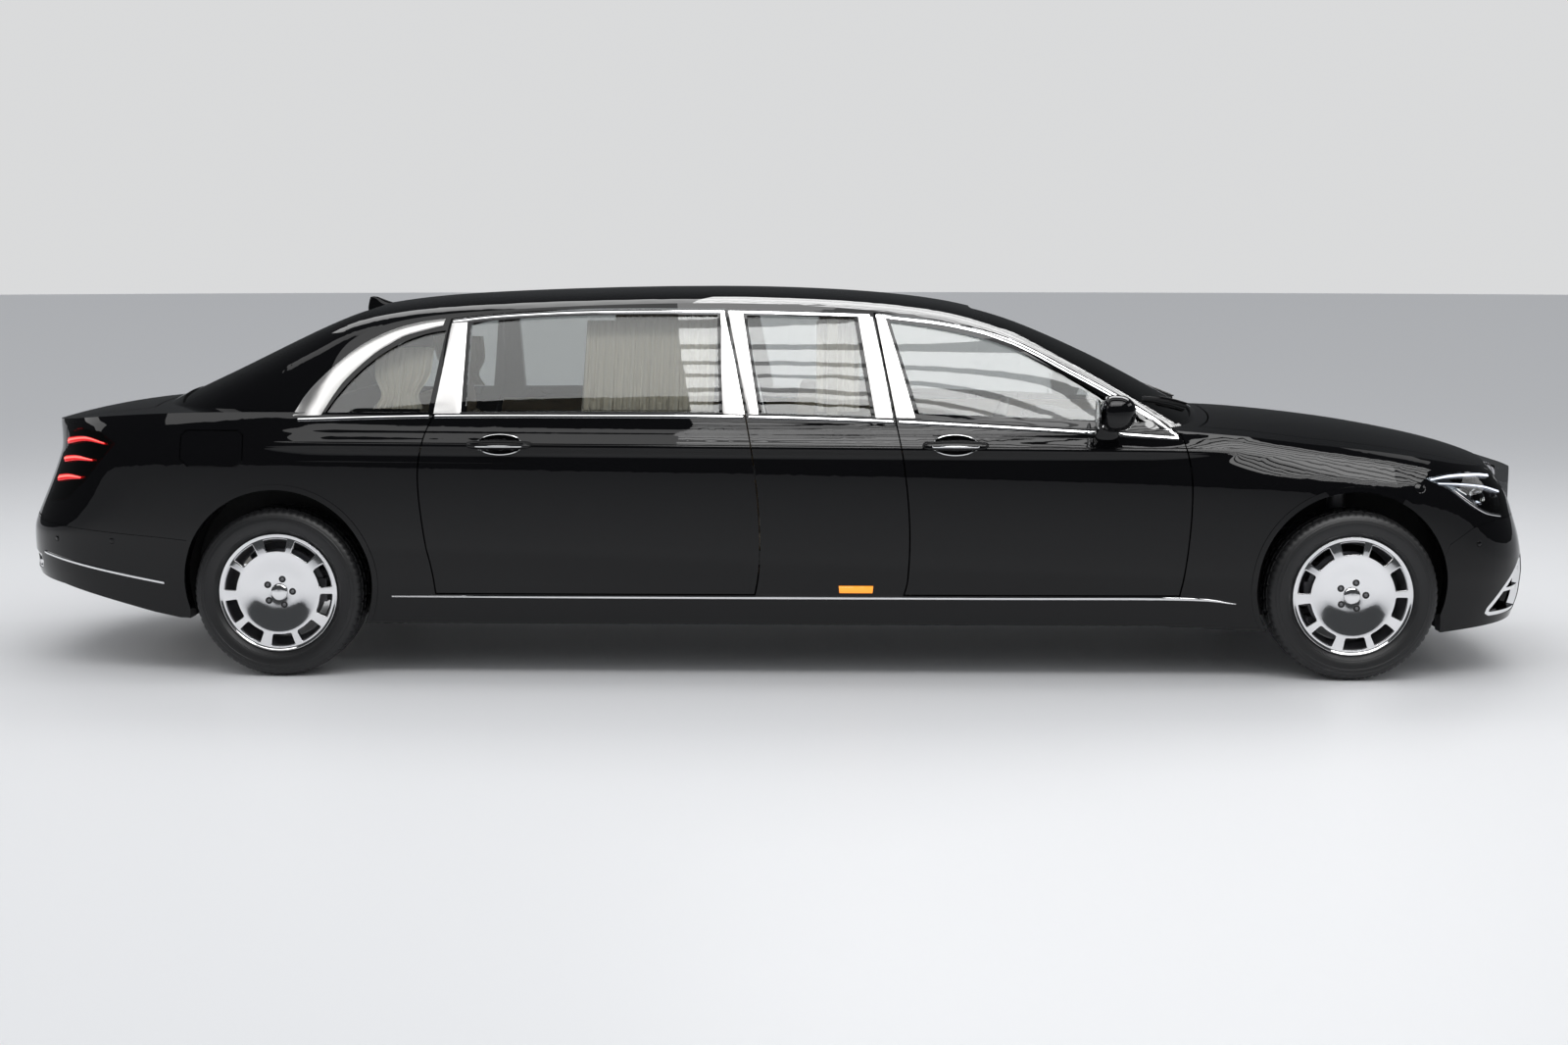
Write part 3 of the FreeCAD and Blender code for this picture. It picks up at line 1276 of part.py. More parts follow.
# The steering wheel.
steer = [Part.makeCylinder(steer_hub_radius, steer_hub_depth,
                           hub_centre - toward_driver * (steer_hub_depth / 2), toward_driver)]
for turn in spoke_degrees:
    spoke_way = Vector(0, math.cos(math.radians(turn)), 0) + Vector(
        math.sin(tilt), 0, math.cos(tilt)) * math.sin(math.radians(turn))
    steer.append(rod(hub_centre, hub_centre + spoke_way * steer_radius, steer_rim_radius / 2))
ring = Part.makeTorus(steer_radius, steer_rim_radius, hub_centre, toward_driver)
keep("steering_wheel", ring.multiFuse(steer))

# The seats and the partition.
seat_top_z = 520.0
seat_length = 520.0
seat_width = 520.0
seat_back_height = 640.0
seat_back_thickness = 130.0
seat_recline = 110.0
front_seat_x = 430.0
front_seat_y = 385.0
partition_x = 255.0
partition_thickness = 40.0
rear_facing_x = 120.0
bench_width = 1240.0


def seat(x, y, wide, face):
    """A seat with its back; face is 1 when it looks forward."""
    low = floor_z + floor_thickness
    back_top = seat_top_z + seat_back_height
    profile = [(0, low), (seat_length, low), (seat_length, seat_top_z),
               (seat_back_thickness, seat_top_z), (seat_back_thickness - seat_recline, back_top),
               (-seat_recline, back_top)]
    flat = [Vector(x + face * px, y - wide / 2, pz) for px, pz in profile]
    return polygon(flat).extrude(Vector(0, wide, 0)).cut(tunnel_block)


keep("front_seats", both(seat(front_seat_x, -front_seat_y, seat_width, 1)))
keep("partition", inside(partition_x, partition_x + partition_thickness, tunnel_top_z,
                         2 * height))
keep("rear_seats", group(both(seat(rear_facing_x, -front_seat_y, seat_width, -1)),
                         seat(kick_x + seat_recline, 0, bench_width, 1)))

# The outside mirrors: housings worked out from three outlines, on a foot.
mirror_side_shares = (
    (0.4019, 0.6946), (0.4038, 0.6571), (0.4154, 0.6477), (0.437, 0.6483), (0.4548, 0.6646),
    (0.4616, 0.6934), (0.4555, 0.7209), (0.437, 0.7384), (0.4154, 0.7409), (0.4038, 0.7322),
)
mirror_front_shares = (
    (0.9546, 0.6821), (0.9757, 0.6533), (1.055, 0.6446), (1.131, 0.6571), (1.156, 0.6934),
    (1.135, 0.7297), (1.055, 0.7447), (0.9757, 0.7359),
)
mirror_plan_shares = (
    (0.4025, 1.055), (0.405, 1.139), (0.4185, 1.158), (0.4431, 1.139), (0.4598, 1.065),
    (0.4585, 0.981), (0.4401, 0.9494), (0.4093, 0.9546),
)
mirror_foot_share = 0.4284
mirror_foot_radius = 24.0
mirror_foot_rise = 30.0


def rounded(points):
    """A flat face inside a smooth closed curve."""
    loop = Part.BSplineCurve()
    loop.interpolate(Points=points, PeriodicFlag=True)
    return Part.Face(Part.Wire(loop.toShape()))


right_front = [Vector(0, -y * half_width, z * height) for y, z in mirror_front_shares]
housing = across(rounded(side(mirror_side_shares)), -width, 0)
housing = housing.common(lengthwise(rounded(right_front), 0, length))
housing = housing.common(upward(rounded(plan(mirror_plan_shares))))
foot_x = mirror_foot_share * half_length
foot_top_z = mirror_front_shares[1][1] * height
foot_top_y = -mirror_front_shares[2][0] * half_width
foot_z = foot_top_z - mirror_foot_rise
foot = rod(Vector(foot_x, skin_y(foot_x, foot_z), foot_z),
           Vector(foot_x, foot_top_y, foot_top_z + mirror_foot_radius), mirror_foot_radius)
keep_both("mirror", biggest(housing.fuse(foot).cut(girdle_solid())))

# The door handles, each over a bowl in the panel.
handle_radius = 12.0
handle_out = 30.0
handle_half_length = 108.0
handle_z = 968.0
handle_place_shares = {"front": 0.2385, "rear": -0.333}
bowl_half_length = 92.0
bowl_half_height = 40.0
bowl_depth = 22.0
for name, share in handle_place_shares.items():
    x = share * half_length
    ends = [Vector(x + way * handle_half_length, 0, handle_z) for way in (-1, 1)]
    y = skin_y(x, handle_z) - handle_out
    grip = [Vector(p.x, y, p.z) for p in ends]
    bars = [rod(grip[0], grip[1], handle_radius)]
    for p in grip:
        bars.append(Part.makeSphere(handle_radius, p))
        bars.append(rod(p, Vector(p.x, skin_y(p.x, p.z) + handle_radius, p.z), handle_radius))
    oval = Part.Ellipse(Vector(x, 0, handle_z), bowl_half_length, bowl_half_height).toShape()
    oval.rotate(Vector(x, 0, handle_z), Vector(1, 0, 0), 90)
    bowl = near_skin(across(Part.Face(Part.Wire(oval))), bowl_depth)
    keep_both("door_" + name, biggest(door_panels[name].cut(bowl).multiFuse(bars)))

os.makedirs("parts", exist_ok=True)
for name, shape in pieces.items():
    shape.exportStep("parts/%s.step" % name)
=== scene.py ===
from math import atan2, copysign, cos, exp, hypot, pi, radians, sin

import bmesh
import bpy
from mathutils import Matrix, Vector
from mathutils.bvhtree import BVHTree


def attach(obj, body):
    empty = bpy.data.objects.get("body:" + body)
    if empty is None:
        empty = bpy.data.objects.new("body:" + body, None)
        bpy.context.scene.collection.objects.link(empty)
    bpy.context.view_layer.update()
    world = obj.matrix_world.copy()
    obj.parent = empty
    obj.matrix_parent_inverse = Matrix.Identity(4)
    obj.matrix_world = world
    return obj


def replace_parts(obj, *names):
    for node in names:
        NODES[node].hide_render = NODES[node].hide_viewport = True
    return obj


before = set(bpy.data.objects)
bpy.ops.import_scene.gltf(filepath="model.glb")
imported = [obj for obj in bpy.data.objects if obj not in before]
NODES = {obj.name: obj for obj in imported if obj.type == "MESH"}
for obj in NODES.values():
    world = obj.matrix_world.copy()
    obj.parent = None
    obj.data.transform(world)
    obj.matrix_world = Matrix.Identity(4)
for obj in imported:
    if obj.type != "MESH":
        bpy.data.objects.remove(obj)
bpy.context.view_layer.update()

# Places shared by several pieces, in metres.
FRONT_AXLE_X = 2.4045
REAR_AXLE_X = -2.0135
WHEEL_Y = 0.815
WHEEL_Z = 0.35
SIDES = {"right": -1, "left": 1}


# Materials.
def add_node(tree, kind, inputs=None, **settings):
    """A shader node whose inputs are values or other nodes' outputs."""
    node = tree.nodes.new("ShaderNode" + kind)
    for key, value in settings.items():
        setattr(node, key, value)
    for key, value in (inputs or {}).items():
        if isinstance(value, bpy.types.NodeSocket):
            tree.links.new(value, node.inputs[key])
        else:
            node.inputs[key].default_value = value
    return node


GRAIN_DETAIL = 4.0


def material(name, color, roughness, scale=0.0, strength=0.0, distance=0.001, metallic=0.0,
             stretch=(1, 1, 1), shade=0.0, sheen=0.0, cells=False, **sockets):
    """A principled material whose grain is a bump, with shade or sheen also in colour or
    roughness; further sockets are given by name with spaces as underscores."""
    mat = bpy.data.materials.new(name)
    mat.use_nodes = True
    tree = mat.node_tree
    shader = tree.nodes["Principled BSDF"]
    sockets.update(Base_Color=(*color, 1.0), Metallic=metallic, Roughness=roughness)
    for key, value in sockets.items():
        shader.inputs[key.replace("_", " ")].default_value = value
    if not scale:
        return mat
    place = add_node(tree, "TexCoord")
    mapping = add_node(tree, "Mapping", {"Vector": place.outputs["Object"], "Scale": stretch})
    inputs = {"Vector": mapping.outputs["Vector"], "Scale": scale}
    if cells:
        height = add_node(tree, "TexVoronoi", inputs).outputs["Distance"]
    else:
        height = add_node(tree, "TexNoise", inputs | {"Detail": GRAIN_DETAIL}).outputs["Fac"]
    bump = add_node(tree, "Bump", {"Strength": strength, "Distance": distance, "Height": height})
    tree.links.new(bump.outputs["Normal"], shader.inputs["Normal"])
    if shade:
        dim, lit = ([min(1, c * (1 + way * shade)) for c in color] + [1.0] for way in (-1, 1))
        mix = add_node(tree, "Mix", {"A": dim, "B": lit, "Factor": height}, data_type="RGBA")
        tree.links.new(mix.outputs["Result"], shader.inputs["Base Color"])
    if sheen:
        vary = add_node(tree, "MapRange", {"Value": height, "To Min": max(0.0, roughness - sheen),
                                           "To Max": roughness + sheen})
        tree.links.new(vary.outputs["Result"], shader.inputs["Roughness"])
    return mat


def add_crease(mat, level, climb, ends, profile, height):
    """A crease along the sides as a bump, faded out towards both ends."""
    tree = mat.node_tree
    place = add_node(tree, "TexCoord")
    parts = add_node(tree, "SeparateXYZ", {0: place.outputs["Object"]})
    line = add_node(tree, "Math", {0: parts.outputs["X"], 1: -climb, 2: -level},
                    operation="MULTIPLY_ADD")
    above = add_node(tree, "Math", {0: parts.outputs["Z"], 1: line.outputs[0]})
    low, high = profile[0][0], profile[-1][0]
    share = add_node(tree, "MapRange", {"Value": above.outputs[0], "From Min": low,
                                        "From Max": high})
    curve = add_node(tree, "FloatCurve", {"Value": share.outputs["Result"]})
    points = curve.mapping.curves[0].points
    while len(points) < len(profile):
        points.new(0.5, 0.5)
    for point, (spot, rise) in zip(points, profile):
        point.location = ((spot - low) / (high - low), rise)
        point.handle_type = "AUTO_CLAMPED"
    curve.mapping.update()
    raised = curve.outputs["Value"]
    for far, near in (ends[:2], ends[:1:-1]):
        fade = add_node(tree, "MapRange", {"Value": parts.outputs["X"], "From Min": far,
                                           "From Max": near}, interpolation_type="SMOOTHSTEP")
        raised = add_node(tree, "Math", {0: raised, 1: fade.outputs["Result"]},
                          operation="MULTIPLY").outputs[0]
    bump = add_node(tree, "Bump", {"Strength": 1.0, "Distance": height, "Height": raised})
    shader = tree.nodes["Principled BSDF"]
    grain = shader.inputs["Normal"].links[0].from_node
    tree.links.new(bump.outputs["Normal"], grain.inputs["Normal"])
    tree.links.new(bump.outputs["Normal"], shader.inputs["Coat Normal"])


def glass_material(name, tint, index):
    """Tinted glass that lets straight light through and reflects like a sheet."""
    mat = bpy.data.materials.new(name)
    mat.use_nodes = True
    tree = mat.node_tree
    tree.nodes.remove(tree.nodes["Principled BSDF"])
    through = add_node(tree, "BsdfTransparent", {"Color": (*tint, 1.0)})
    gloss = add_node(tree, "BsdfGlossy", {"Roughness": 0.01})
    fresnel = add_node(tree, "Fresnel", {"IOR": index})
    mix = add_node(tree, "MixShader", {"Fac": fresnel.outputs["Fac"], 1: through.outputs["BSDF"],
                                       2: gloss.outputs["BSDF"]})
    tree.links.new(mix.outputs["Shader"], tree.nodes["Material Output"].inputs["Surface"])
    return mat


def light_material(name, color, strength):
    """A lit part of a lamp."""
    return material(name, color, 0.3, Emission_Color=(*color, 1.0), Emission_Strength=strength)


PAINT = material("gloss black paint", (0.003, 0.003, 0.0035), 0.3, 900.0, 0.01, 0.0002,
                 Specular_IOR_Level=0.0, Coat_Weight=1.0, Coat_Roughness=0.01, Coat_IOR=1.38)
CREASE = ((-0.07, 0.0), (-0.04, 0.1), (-0.012, 0.8), (0.0, 1.0), (0.012, 0.86), (0.045, 0.43),
          (0.08, 0.09), (0.12, 0.0))
add_crease(PAINT, 0.955, -0.006, (-2.15, -1.75, 1.55, 1.95), CREASE, height=0.03)
GLASS = glass_material("window glass", (0.83, 0.845, 0.84), 1.6)
CHROME = material("polished metal", (0.84, 0.84, 0.85), 0.07, 30.0, 0.01, metallic=1.0, sheen=0.02)
BRUSHED = material("brushed metal", (0.78, 0.77, 0.76), 0.3, 60.0, 0.12, 0.0004, 1.0,
                   stretch=(14, 14, 0.5), sheen=0.08)
RUBBER = material("tyre rubber", (0.01, 0.01, 0.011), 0.46, 260.0, 0.15, shade=0.25)
SEAL = material("rubber seal", (0.008, 0.008, 0.009), 0.45, 300.0, 0.1)
ALLOY = material("polished alloy", (0.88, 0.88, 0.89), 0.09, 25.0, 0.01, metallic=1.0, sheen=0.03)
BARREL = material("barrel alloy", (0.42, 0.42, 0.44), 0.35, 120.0, 0.1, metallic=1.0)
DARK = material("dark plastic", (0.015, 0.015, 0.016), 0.42, 500.0, 0.2)
CAST = material("cast metal", (0.2, 0.2, 0.21), 0.5, 120.0, 0.3, metallic=0.8, shade=0.2)
UNDER = material("underbody coat", (0.02, 0.02, 0.02), 0.8, 90.0, 0.4)
STEEL = material("exhaust steel", (0.45, 0.43, 0.4), 0.35, 150.0, 0.1, metallic=1.0, shade=0.15)
LEATHER = material("cream leather", (0.6, 0.5, 0.37), 0.42, 420.0, 0.3, 0.0012, shade=0.08,
                   cells=True)
CLOTH = material("cream curtain cloth", (0.86, 0.79, 0.68), 0.85, 900.0, 0.3, 0.0006,
                 stretch=(1, 1, 0.25), shade=0.1, Sheen_Weight=0.3)
LINER = material("cream lining cloth", (0.52, 0.46, 0.37), 0.9, 700.0, 0.25, 0.0006, shade=0.08)
CARPET = material("dark carpet", (0.035, 0.03, 0.027), 0.95, 800.0, 0.8, 0.003, shade=0.4)
WOOD = material("dark veneer", (0.1, 0.045, 0.02), 0.2, 14.0, 0.02, stretch=(1, 9, 3),
                shade=0.5, Coat_Weight=1.0)
TRIM = material("cabin trim", (0.03, 0.027, 0.025), 0.55, 400.0, 0.3)
SCREEN = material("dark screen", (0.003, 0.003, 0.004), 0.08)
RED = glass_material("red lens", (0.75, 0.02, 0.02), 1.6)
RED_BAR = light_material("red light bar", (0.75, 0.01, 0.015), 0.35)
RED_CORE = light_material("bright red light line", (1.0, 0.12, 0.1), 1.6)
WHITE_BAR = light_material("white light bar", (0.86, 0.9, 1.0), 0.5)
AMBER = light_material("amber lens", (0.95, 0.3, 0.03), 0.8)
LENS = glass_material("clear lens", (0.93, 0.95, 0.96), 1.45)
BOWL = material("lamp bowl", (0.3, 0.31, 0.33), 0.22, 60.0, 0.05, metallic=1.0)
SILVERED = material("mirror glass", (0.8, 0.82, 0.84), 0.02, metallic=1.0)
PLATE = material("blank plate", (0.62, 0.62, 0.6), 0.35, 300.0, 0.05)

NODE_LOOKS = {
    "door_glass": GLASS, "side_glass": GLASS, "windscreen": GLASS, "rear_window": GLASS,
    "grille": CHROME, "headlamps": LENS, "tail_lamps": RED, "lamp_units": BOWL,
    "bumper_frames": CHROME, "tyre": RUBBER, "rim": ALLOY, "wheel_houses": UNDER,
    "platform": UNDER, "knuckle": CAST, "front_suspension": CAST, "rear_axle": CAST,
    "engine": CAST, "exhaust": STEEL, "dashboard": TRIM, "steering_wheel": TRIM,
    "partition": LINER, "front_seats": LEATHER, "rear_seats": LEATHER,
}
for name, piece in NODES.items():
    looks = [mat for key, mat in NODE_LOOKS.items() if name.startswith(key)]
    piece.data.materials.clear()
    piece.data.materials.append(looks[0] if looks else PAINT)


# Building pieces from points.
def mesh_piece(name, verts, faces, mat, body="car", slot="interior", sharp=38.0, levels=0):
    """A piece of the model from its points and faces."""
    mesh = bpy.data.meshes.new(name)
    mesh.from_pydata([tuple(v) for v in verts], [], faces)
    mesh.validate()
    work = bmesh.new()
    work.from_mesh(mesh)
    bmesh.ops.recalc_face_normals(work, faces=work.faces)
    work.to_mesh(mesh)
    work.free()
    mesh.polygons.foreach_set("use_smooth", [True] * len(mesh.polygons))
    if not levels:
        mesh.set_sharp_from_angle(angle=radians(sharp))
    mesh.materials.append(mat)
    piece = bpy.data.objects.new(name, mesh)
    bpy.context.scene.collection.objects.link(piece)
    if levels:
        rounding = piece.modifiers.new("rounding", "SUBSURF")
        rounding.levels = rounding.render_levels = levels
    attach(piece, body)
    return piece


def points_and_faces(work):
    """What a mesh in work holds; it is freed."""
    bmesh.ops.recalc_face_normals(work, faces=work.faces)
    work.verts.index_update()
    verts = [v.co.copy() for v in work.verts]
    faces = [tuple(v.index for v in f.verts) for f in work.faces]
    work.free()
    return verts, faces


def spread(start, end, count):
    """Evenly spaced numbers."""
    return [start + (end - start) * i / (count - 1) for i in range(count)]


def turns(count):
    """Angles all the way round."""
    return [2 * pi * k / count for k in range(count)]


def squared(a, power_c, power_s):
    """A point of a circle with its sides pressed flat."""
    c, s = cos(a), sin(a)
    return copysign(abs(c) ** power_c, c), copysign(abs(s) ** power_s, s)


class Form:
    """Points and faces gathered for one piece."""

    def __init__(self):
        self.verts, self.faces = [], []

    def grid(self, rows, around=False, looped=False, skip=()):
        """Quads between rows of points; around closes each row, looped joins last to first."""
        base, columns = len(self.verts), len(rows[0])
        for row in rows:
            self.verts.extend(row)
        for i in range(len(rows) if looped else len(rows) - 1):
            after = (i + 1) % len(rows)
            for j in range(columns if around else columns - 1):
                k = (j + 1) % columns
                if (i, j) not in skip:
                    self.faces.append((base + i * columns + j, base + i * columns + k,
                                       base + after * columns + k, base + after * columns + j))
        return self

    def lathe(self, profile, centre, steps, out, closed=True):
        """A form spun about the wheel's axis from points of radius and side offset."""
        rows = [[Vector((centre[0] + r * sin(a), centre[1] + out * s,
                         centre[2] + r * cos(a))) for r, s in profile] for a in turns(steps)]
        return self.grid(rows, around=closed, looped=True)

    def sweep(self, path, sizes, steps, up=(0, 0, 1)):
        """A rounded bar along a path; sizes are its half width and half height at each point."""
        rows = []
        for i, (point, (wide, high)) in enumerate(zip(path, sizes)):
            way = (path[min(i + 1, len(path) - 1)] - path[max(i - 1, 0)]).normalized()
            across = way.cross(Vector(up)).normalized()
            rise = across.cross(way)
            rows.append([point + across * wide * cos(a) + rise * high * sin(a)
                         for a in turns(steps)])
        return self.grid(rows, around=True).lid(steps, len(rows) * steps).lid(steps)

    def lid(self, steps, back=0):
        """A face over the last ring of points, or over the ring that starts further back."""
        start = len(self.verts) - (back or steps)
        self.faces.append(tuple(range(start, start + steps)))
        return self

    def piece(self, name, mat, *places, **options):
        """The gathered form as a piece."""
        return mesh_piece(name, self.verts, self.faces, mat, *places, **options)


FINE_STEPS = 12


def smooth_line(points, count):
    """Points spaced evenly along a smooth curve through given points."""
    points = [Vector(p) for p in points]
    if len(points) > 2:
        ends = [2 * points[0] - points[1], *points, 2 * points[-1] - points[-2]]
        fine = []
        for a, b, c, d in zip(ends, ends[1:], ends[2:], ends[3:]):
            for k in range(FINE_STEPS):
                t = k / FINE_STEPS
                fine.append(0.5 * (2 * b + (c - a) * t + (2 * a - 5 * b + 4 * c - d) * t * t
                                   + (3 * b - a - 3 * c + d) * t ** 3))
        points = fine + [points[-1]]
    runs = [0.0]
    for p, q in zip(points, points[1:]):
        runs.append(runs[-1] + (q - p).length)
    result, k = [], 0
    for i in range(count):
        want = runs[-1] * i / (count - 1)
        while k < len(runs) - 2 and runs[k + 1] < want:
            k += 1
        share = (want - runs[k]) / max(runs[k + 1] - runs[k], 1e-9)
        result.append(points[k].lerp(points[k + 1], min(1.0, share)))
    return result


def offset_line(points, amount):
    """A line in a plane moved sideways, to the left of its direction where positive."""
    points = [Vector(p) for p in points]
    moved = []
    for i, point in enumerate(points):
        way = (points[min(i + 1, len(points) - 1)] - points[max(i - 1, 0)]).normalized()
        moved.append(point + Vector((-way.y, way.x)) * amount)
    return moved


def tree_of(names):
    """A search tree over several nodes."""
    verts, faces = [], []
    for name in names:
        mesh = NODES[name].data
        base = len(verts)
        verts.extend(v.co.copy() for v in mesh.vertices)
        faces.extend(tuple(base + i for i in p.vertices) for p in mesh.polygons)
    return BVHTree.FromPolygons(verts, faces)


SEAM_REACH = 0.009
SEAM_DEPTH = 0.003
SLOPE_STEP = 0.006
STEEPEST = 2.0


class Skin:
    """The surface that some nodes show to one side; axis is the way it is looked at along."""

    def __init__(self, names, axis, sign, start=4.0):
        self.tree = tree_of(names)
        self.axis, self.sign, self.start = axis, sign, start
        self.others = [i for i in range(3) if i != axis]

    def place(self, u, v, depth):
        """The point whose depth is counted outward along the axis."""
        point = Vector((0, 0, 0))
        point[self.others[0]], point[self.others[1]] = u, v
        point[self.axis] = self.sign * depth
        return point

    def cast(self, u, v):
        """The depth of the first surface met from outside."""
        hit = self.tree.ray_cast(self.place(u, v, self.start), self.place(0, 0, -1))[0]
        return None if hit is None else self.sign * hit[self.axis]

    def depth(self, u, v):
        """The depth at a place, carried over narrow gaps."""
        best = self.cast(u, v)
        for du, dv in ((SEAM_REACH, 0), (0, SEAM_REACH)):
            pair = (self.cast(u + du, v + dv), self.cast(u - du, v - dv))
            if None not in pair and (best is None or sum(pair) / 2 > best + SEAM_DEPTH):
                best = sum(pair) / 2
        return best

    def lifted(self, u, v, lift):
        """A point over the surface by a height along its normal."""
        here = self.depth(u, v)
        if here is None:
            return None
        slopes = []
        for du, dv in ((SLOPE_STEP, 0), (0, SLOPE_STEP)):
            pair = (self.depth(u + du, v + dv), self.depth(u - du, v - dv))
            slope = 0.0 if None in pair else (pair[0] - pair[1]) / (2 * SLOPE_STEP)
            slopes.append(max(-STEEPEST, min(STEEPEST, slope)))
        normal = self.place(-slopes[0], -slopes[1], 1).normalized()
        return self.place(u, v, here) + normal * lift


# A strip's section, as shares of its width and height.
STRIP = ((0.0, -1.0), (0.0, 0.25), (0.06, 0.7), (0.2, 0.92), (0.5, 1.0), (0.8, 0.92), (0.94, 0.7),
         (1.0, 0.25), (1.0, -1.0))
FLAT = ((0.0, -1.0), (0.0, 0.7), (0.04, 1.0), (0.35, 1.0), (0.65, 1.0), (0.96, 1.0), (1.0, 0.7),
        (1.0, -1.0))


def band(name, skin, edge_a, edge_b, height, mat, body="car", slot="grille", count=40,
         profile=STRIP):
    """A strip of trim that follows a surface between two edge lines."""
    rows = []
    for p, q in zip(smooth_line(edge_a, count), smooth_line(edge_b, count)):
        places = [(p.lerp(q, share), rise) for share, rise in profile]
        row = [skin.lifted(uv.x, uv.y, rise * height) for uv, rise in places]
        if None not in row:
            rows.append(row)
    depth = skin.place(0, 0, 1) * -height
    rows = [[p + depth for p in rows[0]], *rows, [p + depth for p in rows[-1]]]
    return Form().grid(rows).piece(name, mat, body, slot)


def boss(form, skin, u, v, profile, steps=36):
    """A round detail on a surface, from points of radius and height over it."""
    centre = skin.lifted(u, v, 0.0)
    ahead = (skin.lifted(u, v, 0.01) - centre).normalized()
    across = ahead.cross(Vector((0, 0, 1))).normalized()
    rise = across.cross(ahead)
    rows = [[centre + (across * cos(a) + rise * sin(a)) * r + ahead * h
             for a in turns(steps)] for r, h in profile]
    return form.grid(rows, around=True)


HIGHEST_STEP = 0.12


def lining(name, skin, us, vs, lift, mat):
    """A thin lining over what a look along an axis meets."""
    form, index = Form(), {}
    for i, u in enumerate(us):
        for j, v in enumerate(vs):
            depth = skin.cast(u, v)
            if depth is not None:
                index[i, j] = len(form.verts)
                form.verts.append(skin.place(u, v, depth + lift))
    for i in range(len(us) - 1):
        for j in range(len(vs) - 1):
            corners = [(i, j), (i + 1, j), (i + 1, j + 1), (i, j + 1)]
            if all(c in index for c in corners):
                quad = tuple(index[c] for c in corners)
                depths = [form.verts[q][skin.axis] for q in quad]
                if max(depths) - min(depths) < HIGHEST_STEP:
                    form.faces.append(quad)
    return form.piece(name, mat)


FIXED = ("front_fenders", "rear_quarters", "side_frames", "roof", "front_bumper", "rear_bumper",
         "bonnet", "boot_lid")
SKIN = {side: Skin(FIXED + ("door_front_" + side, "door_rear_" + side), 1, sign)
        for side, sign in SIDES.items()}
REAR = Skin(("rear_quarters", "rear_bumper", "boot_lid", "tail_lamps"), 0, -1)
TOP = Skin(("roof", "windscreen", "bonnet", "boot_lid", "side_frames", "rear_window"), 2, 1)

# The bright trim along the sides: lines, and each part's start and end along them.
TOP_LINE = ((-1.309, 1.473), (-1.1, 1.495), (-0.719, 1.5125), (-0.169, 1.5135), (0.443, 1.4975),
            (0.51, 1.4895), (0.771, 1.4565), (1.02, 1.3885), (1.27, 1.2615), (1.434, 1.1745),
            (1.598, 1.0785), (1.6985, 1.0075))
TOP_PARTS = {"rear": (-1.306, -0.174), "middle": (-0.16, 0.432), "front": (0.452, 1.69)}
TOP_EDGES = (-0.0045, -0.0205)
TOP_RISE = 0.0035
BELT_LOW = ((-1.93, 1.056), (-1.875, 1.058), (-1.366, 1.071), (-0.7, 1.073), (-0.078, 1.07),
            (0.533, 1.051), (1.321, 1.009), (1.69, 0.985))
BELT_PARTS = {"quarter": (-1.921, -1.373), "rear": (-1.356, -0.086), "middle": (-0.068, 0.524),
              "front": (0.54, 1.688)}
BELT_WIDTH = 0.016
BELT_RISE = 0.0045
BELT_SEAL = (0.001, 0.009)
SEAL_RISE = 0.003
# Pillars: the door that the trim rides on, if any, and both edges.
PILLARS = {
    "quarter": ("", ((-1.939, 1.079), (-1.905, 1.15), (-1.837, 1.229), (-1.703, 1.347),
                     (-1.57, 1.419), (-1.438, 1.457), (-1.336, 1.47)),
                ((-1.822, 1.083), (-1.775, 1.165), (-1.726, 1.232), (-1.63, 1.322),
                 (-1.56, 1.368), (-1.494, 1.402), (-1.345, 1.442))),
    "door_rear_edge": ("rear", ((-1.3585, 1.09), (-1.3305, 1.28), (-1.3085, 1.452)),
                       ((-1.246, 1.09), (-1.244, 1.28), (-1.244, 1.456))),
    "door_front_edge": ("rear", ((-0.172, 1.09), (-0.184, 1.3), (-0.19, 1.493)),
                        ((-0.083, 1.09), (-0.128, 1.3), (-0.1735, 1.494))),
    "middle_rear": ("", ((-0.07, 1.09), (-0.115, 1.3), (-0.158, 1.494)),
                    ((-0.026, 1.09), (-0.063, 1.3), (-0.097, 1.494))),
    "middle_front": ("", ((0.45, 1.076), (0.415, 1.28), (0.379, 1.483)),
                     ((0.521, 1.076), (0.482, 1.28), (0.4395, 1.479))),
    "door_rear_post": ("front", ((0.5355, 1.076), (0.495, 1.28), (0.4555, 1.476)),
                       ((0.612, 1.076), (0.554, 1.28), (0.496, 1.47))),
}
PILLAR_RISE = 0.003
# Strips along the sill and the bumper, and the marker lamp: edges, rise, look and points.
LOW_STRIPS = {
    "sill_line": (((-1.542, 0.3405), (-0.5, 0.3435), (0.9, 0.3435), (1.7, 0.3425),
                   (1.929, 0.318)),
                  ((-1.542, 0.3335), (-0.5, 0.331), (0.9, 0.331), (1.7, 0.33),
                   (1.931, 0.314)), 0.0045, CHROME, 90),
    "bumper_line_rear": (((-2.493, 0.394), (-2.7, 0.431), (-2.959, 0.478), (-3.06, 0.494)),
                         ((-2.493, 0.381), (-2.7, 0.418), (-2.959, 0.465), (-3.06, 0.481)),
                         0.005, CHROME, 40),
    "marker_lamp": (((0.303, 0.388), (0.444, 0.388)), ((0.306, 0.358), (0.441, 0.358)), 0.012,
                    AMBER, 20),
}
LINE_POINTS = 600


def cut_line(points, start, end, count=40):
    """The part of a line between two places along it, by its first number."""
    fine = smooth_line(points, LINE_POINTS)
    kept = [p for p in fine if start <= p.x <= end]
    return smooth_line([kept[0], *kept[len(kept) // count::max(1, len(kept) // count)],
                        kept[-1]], count)


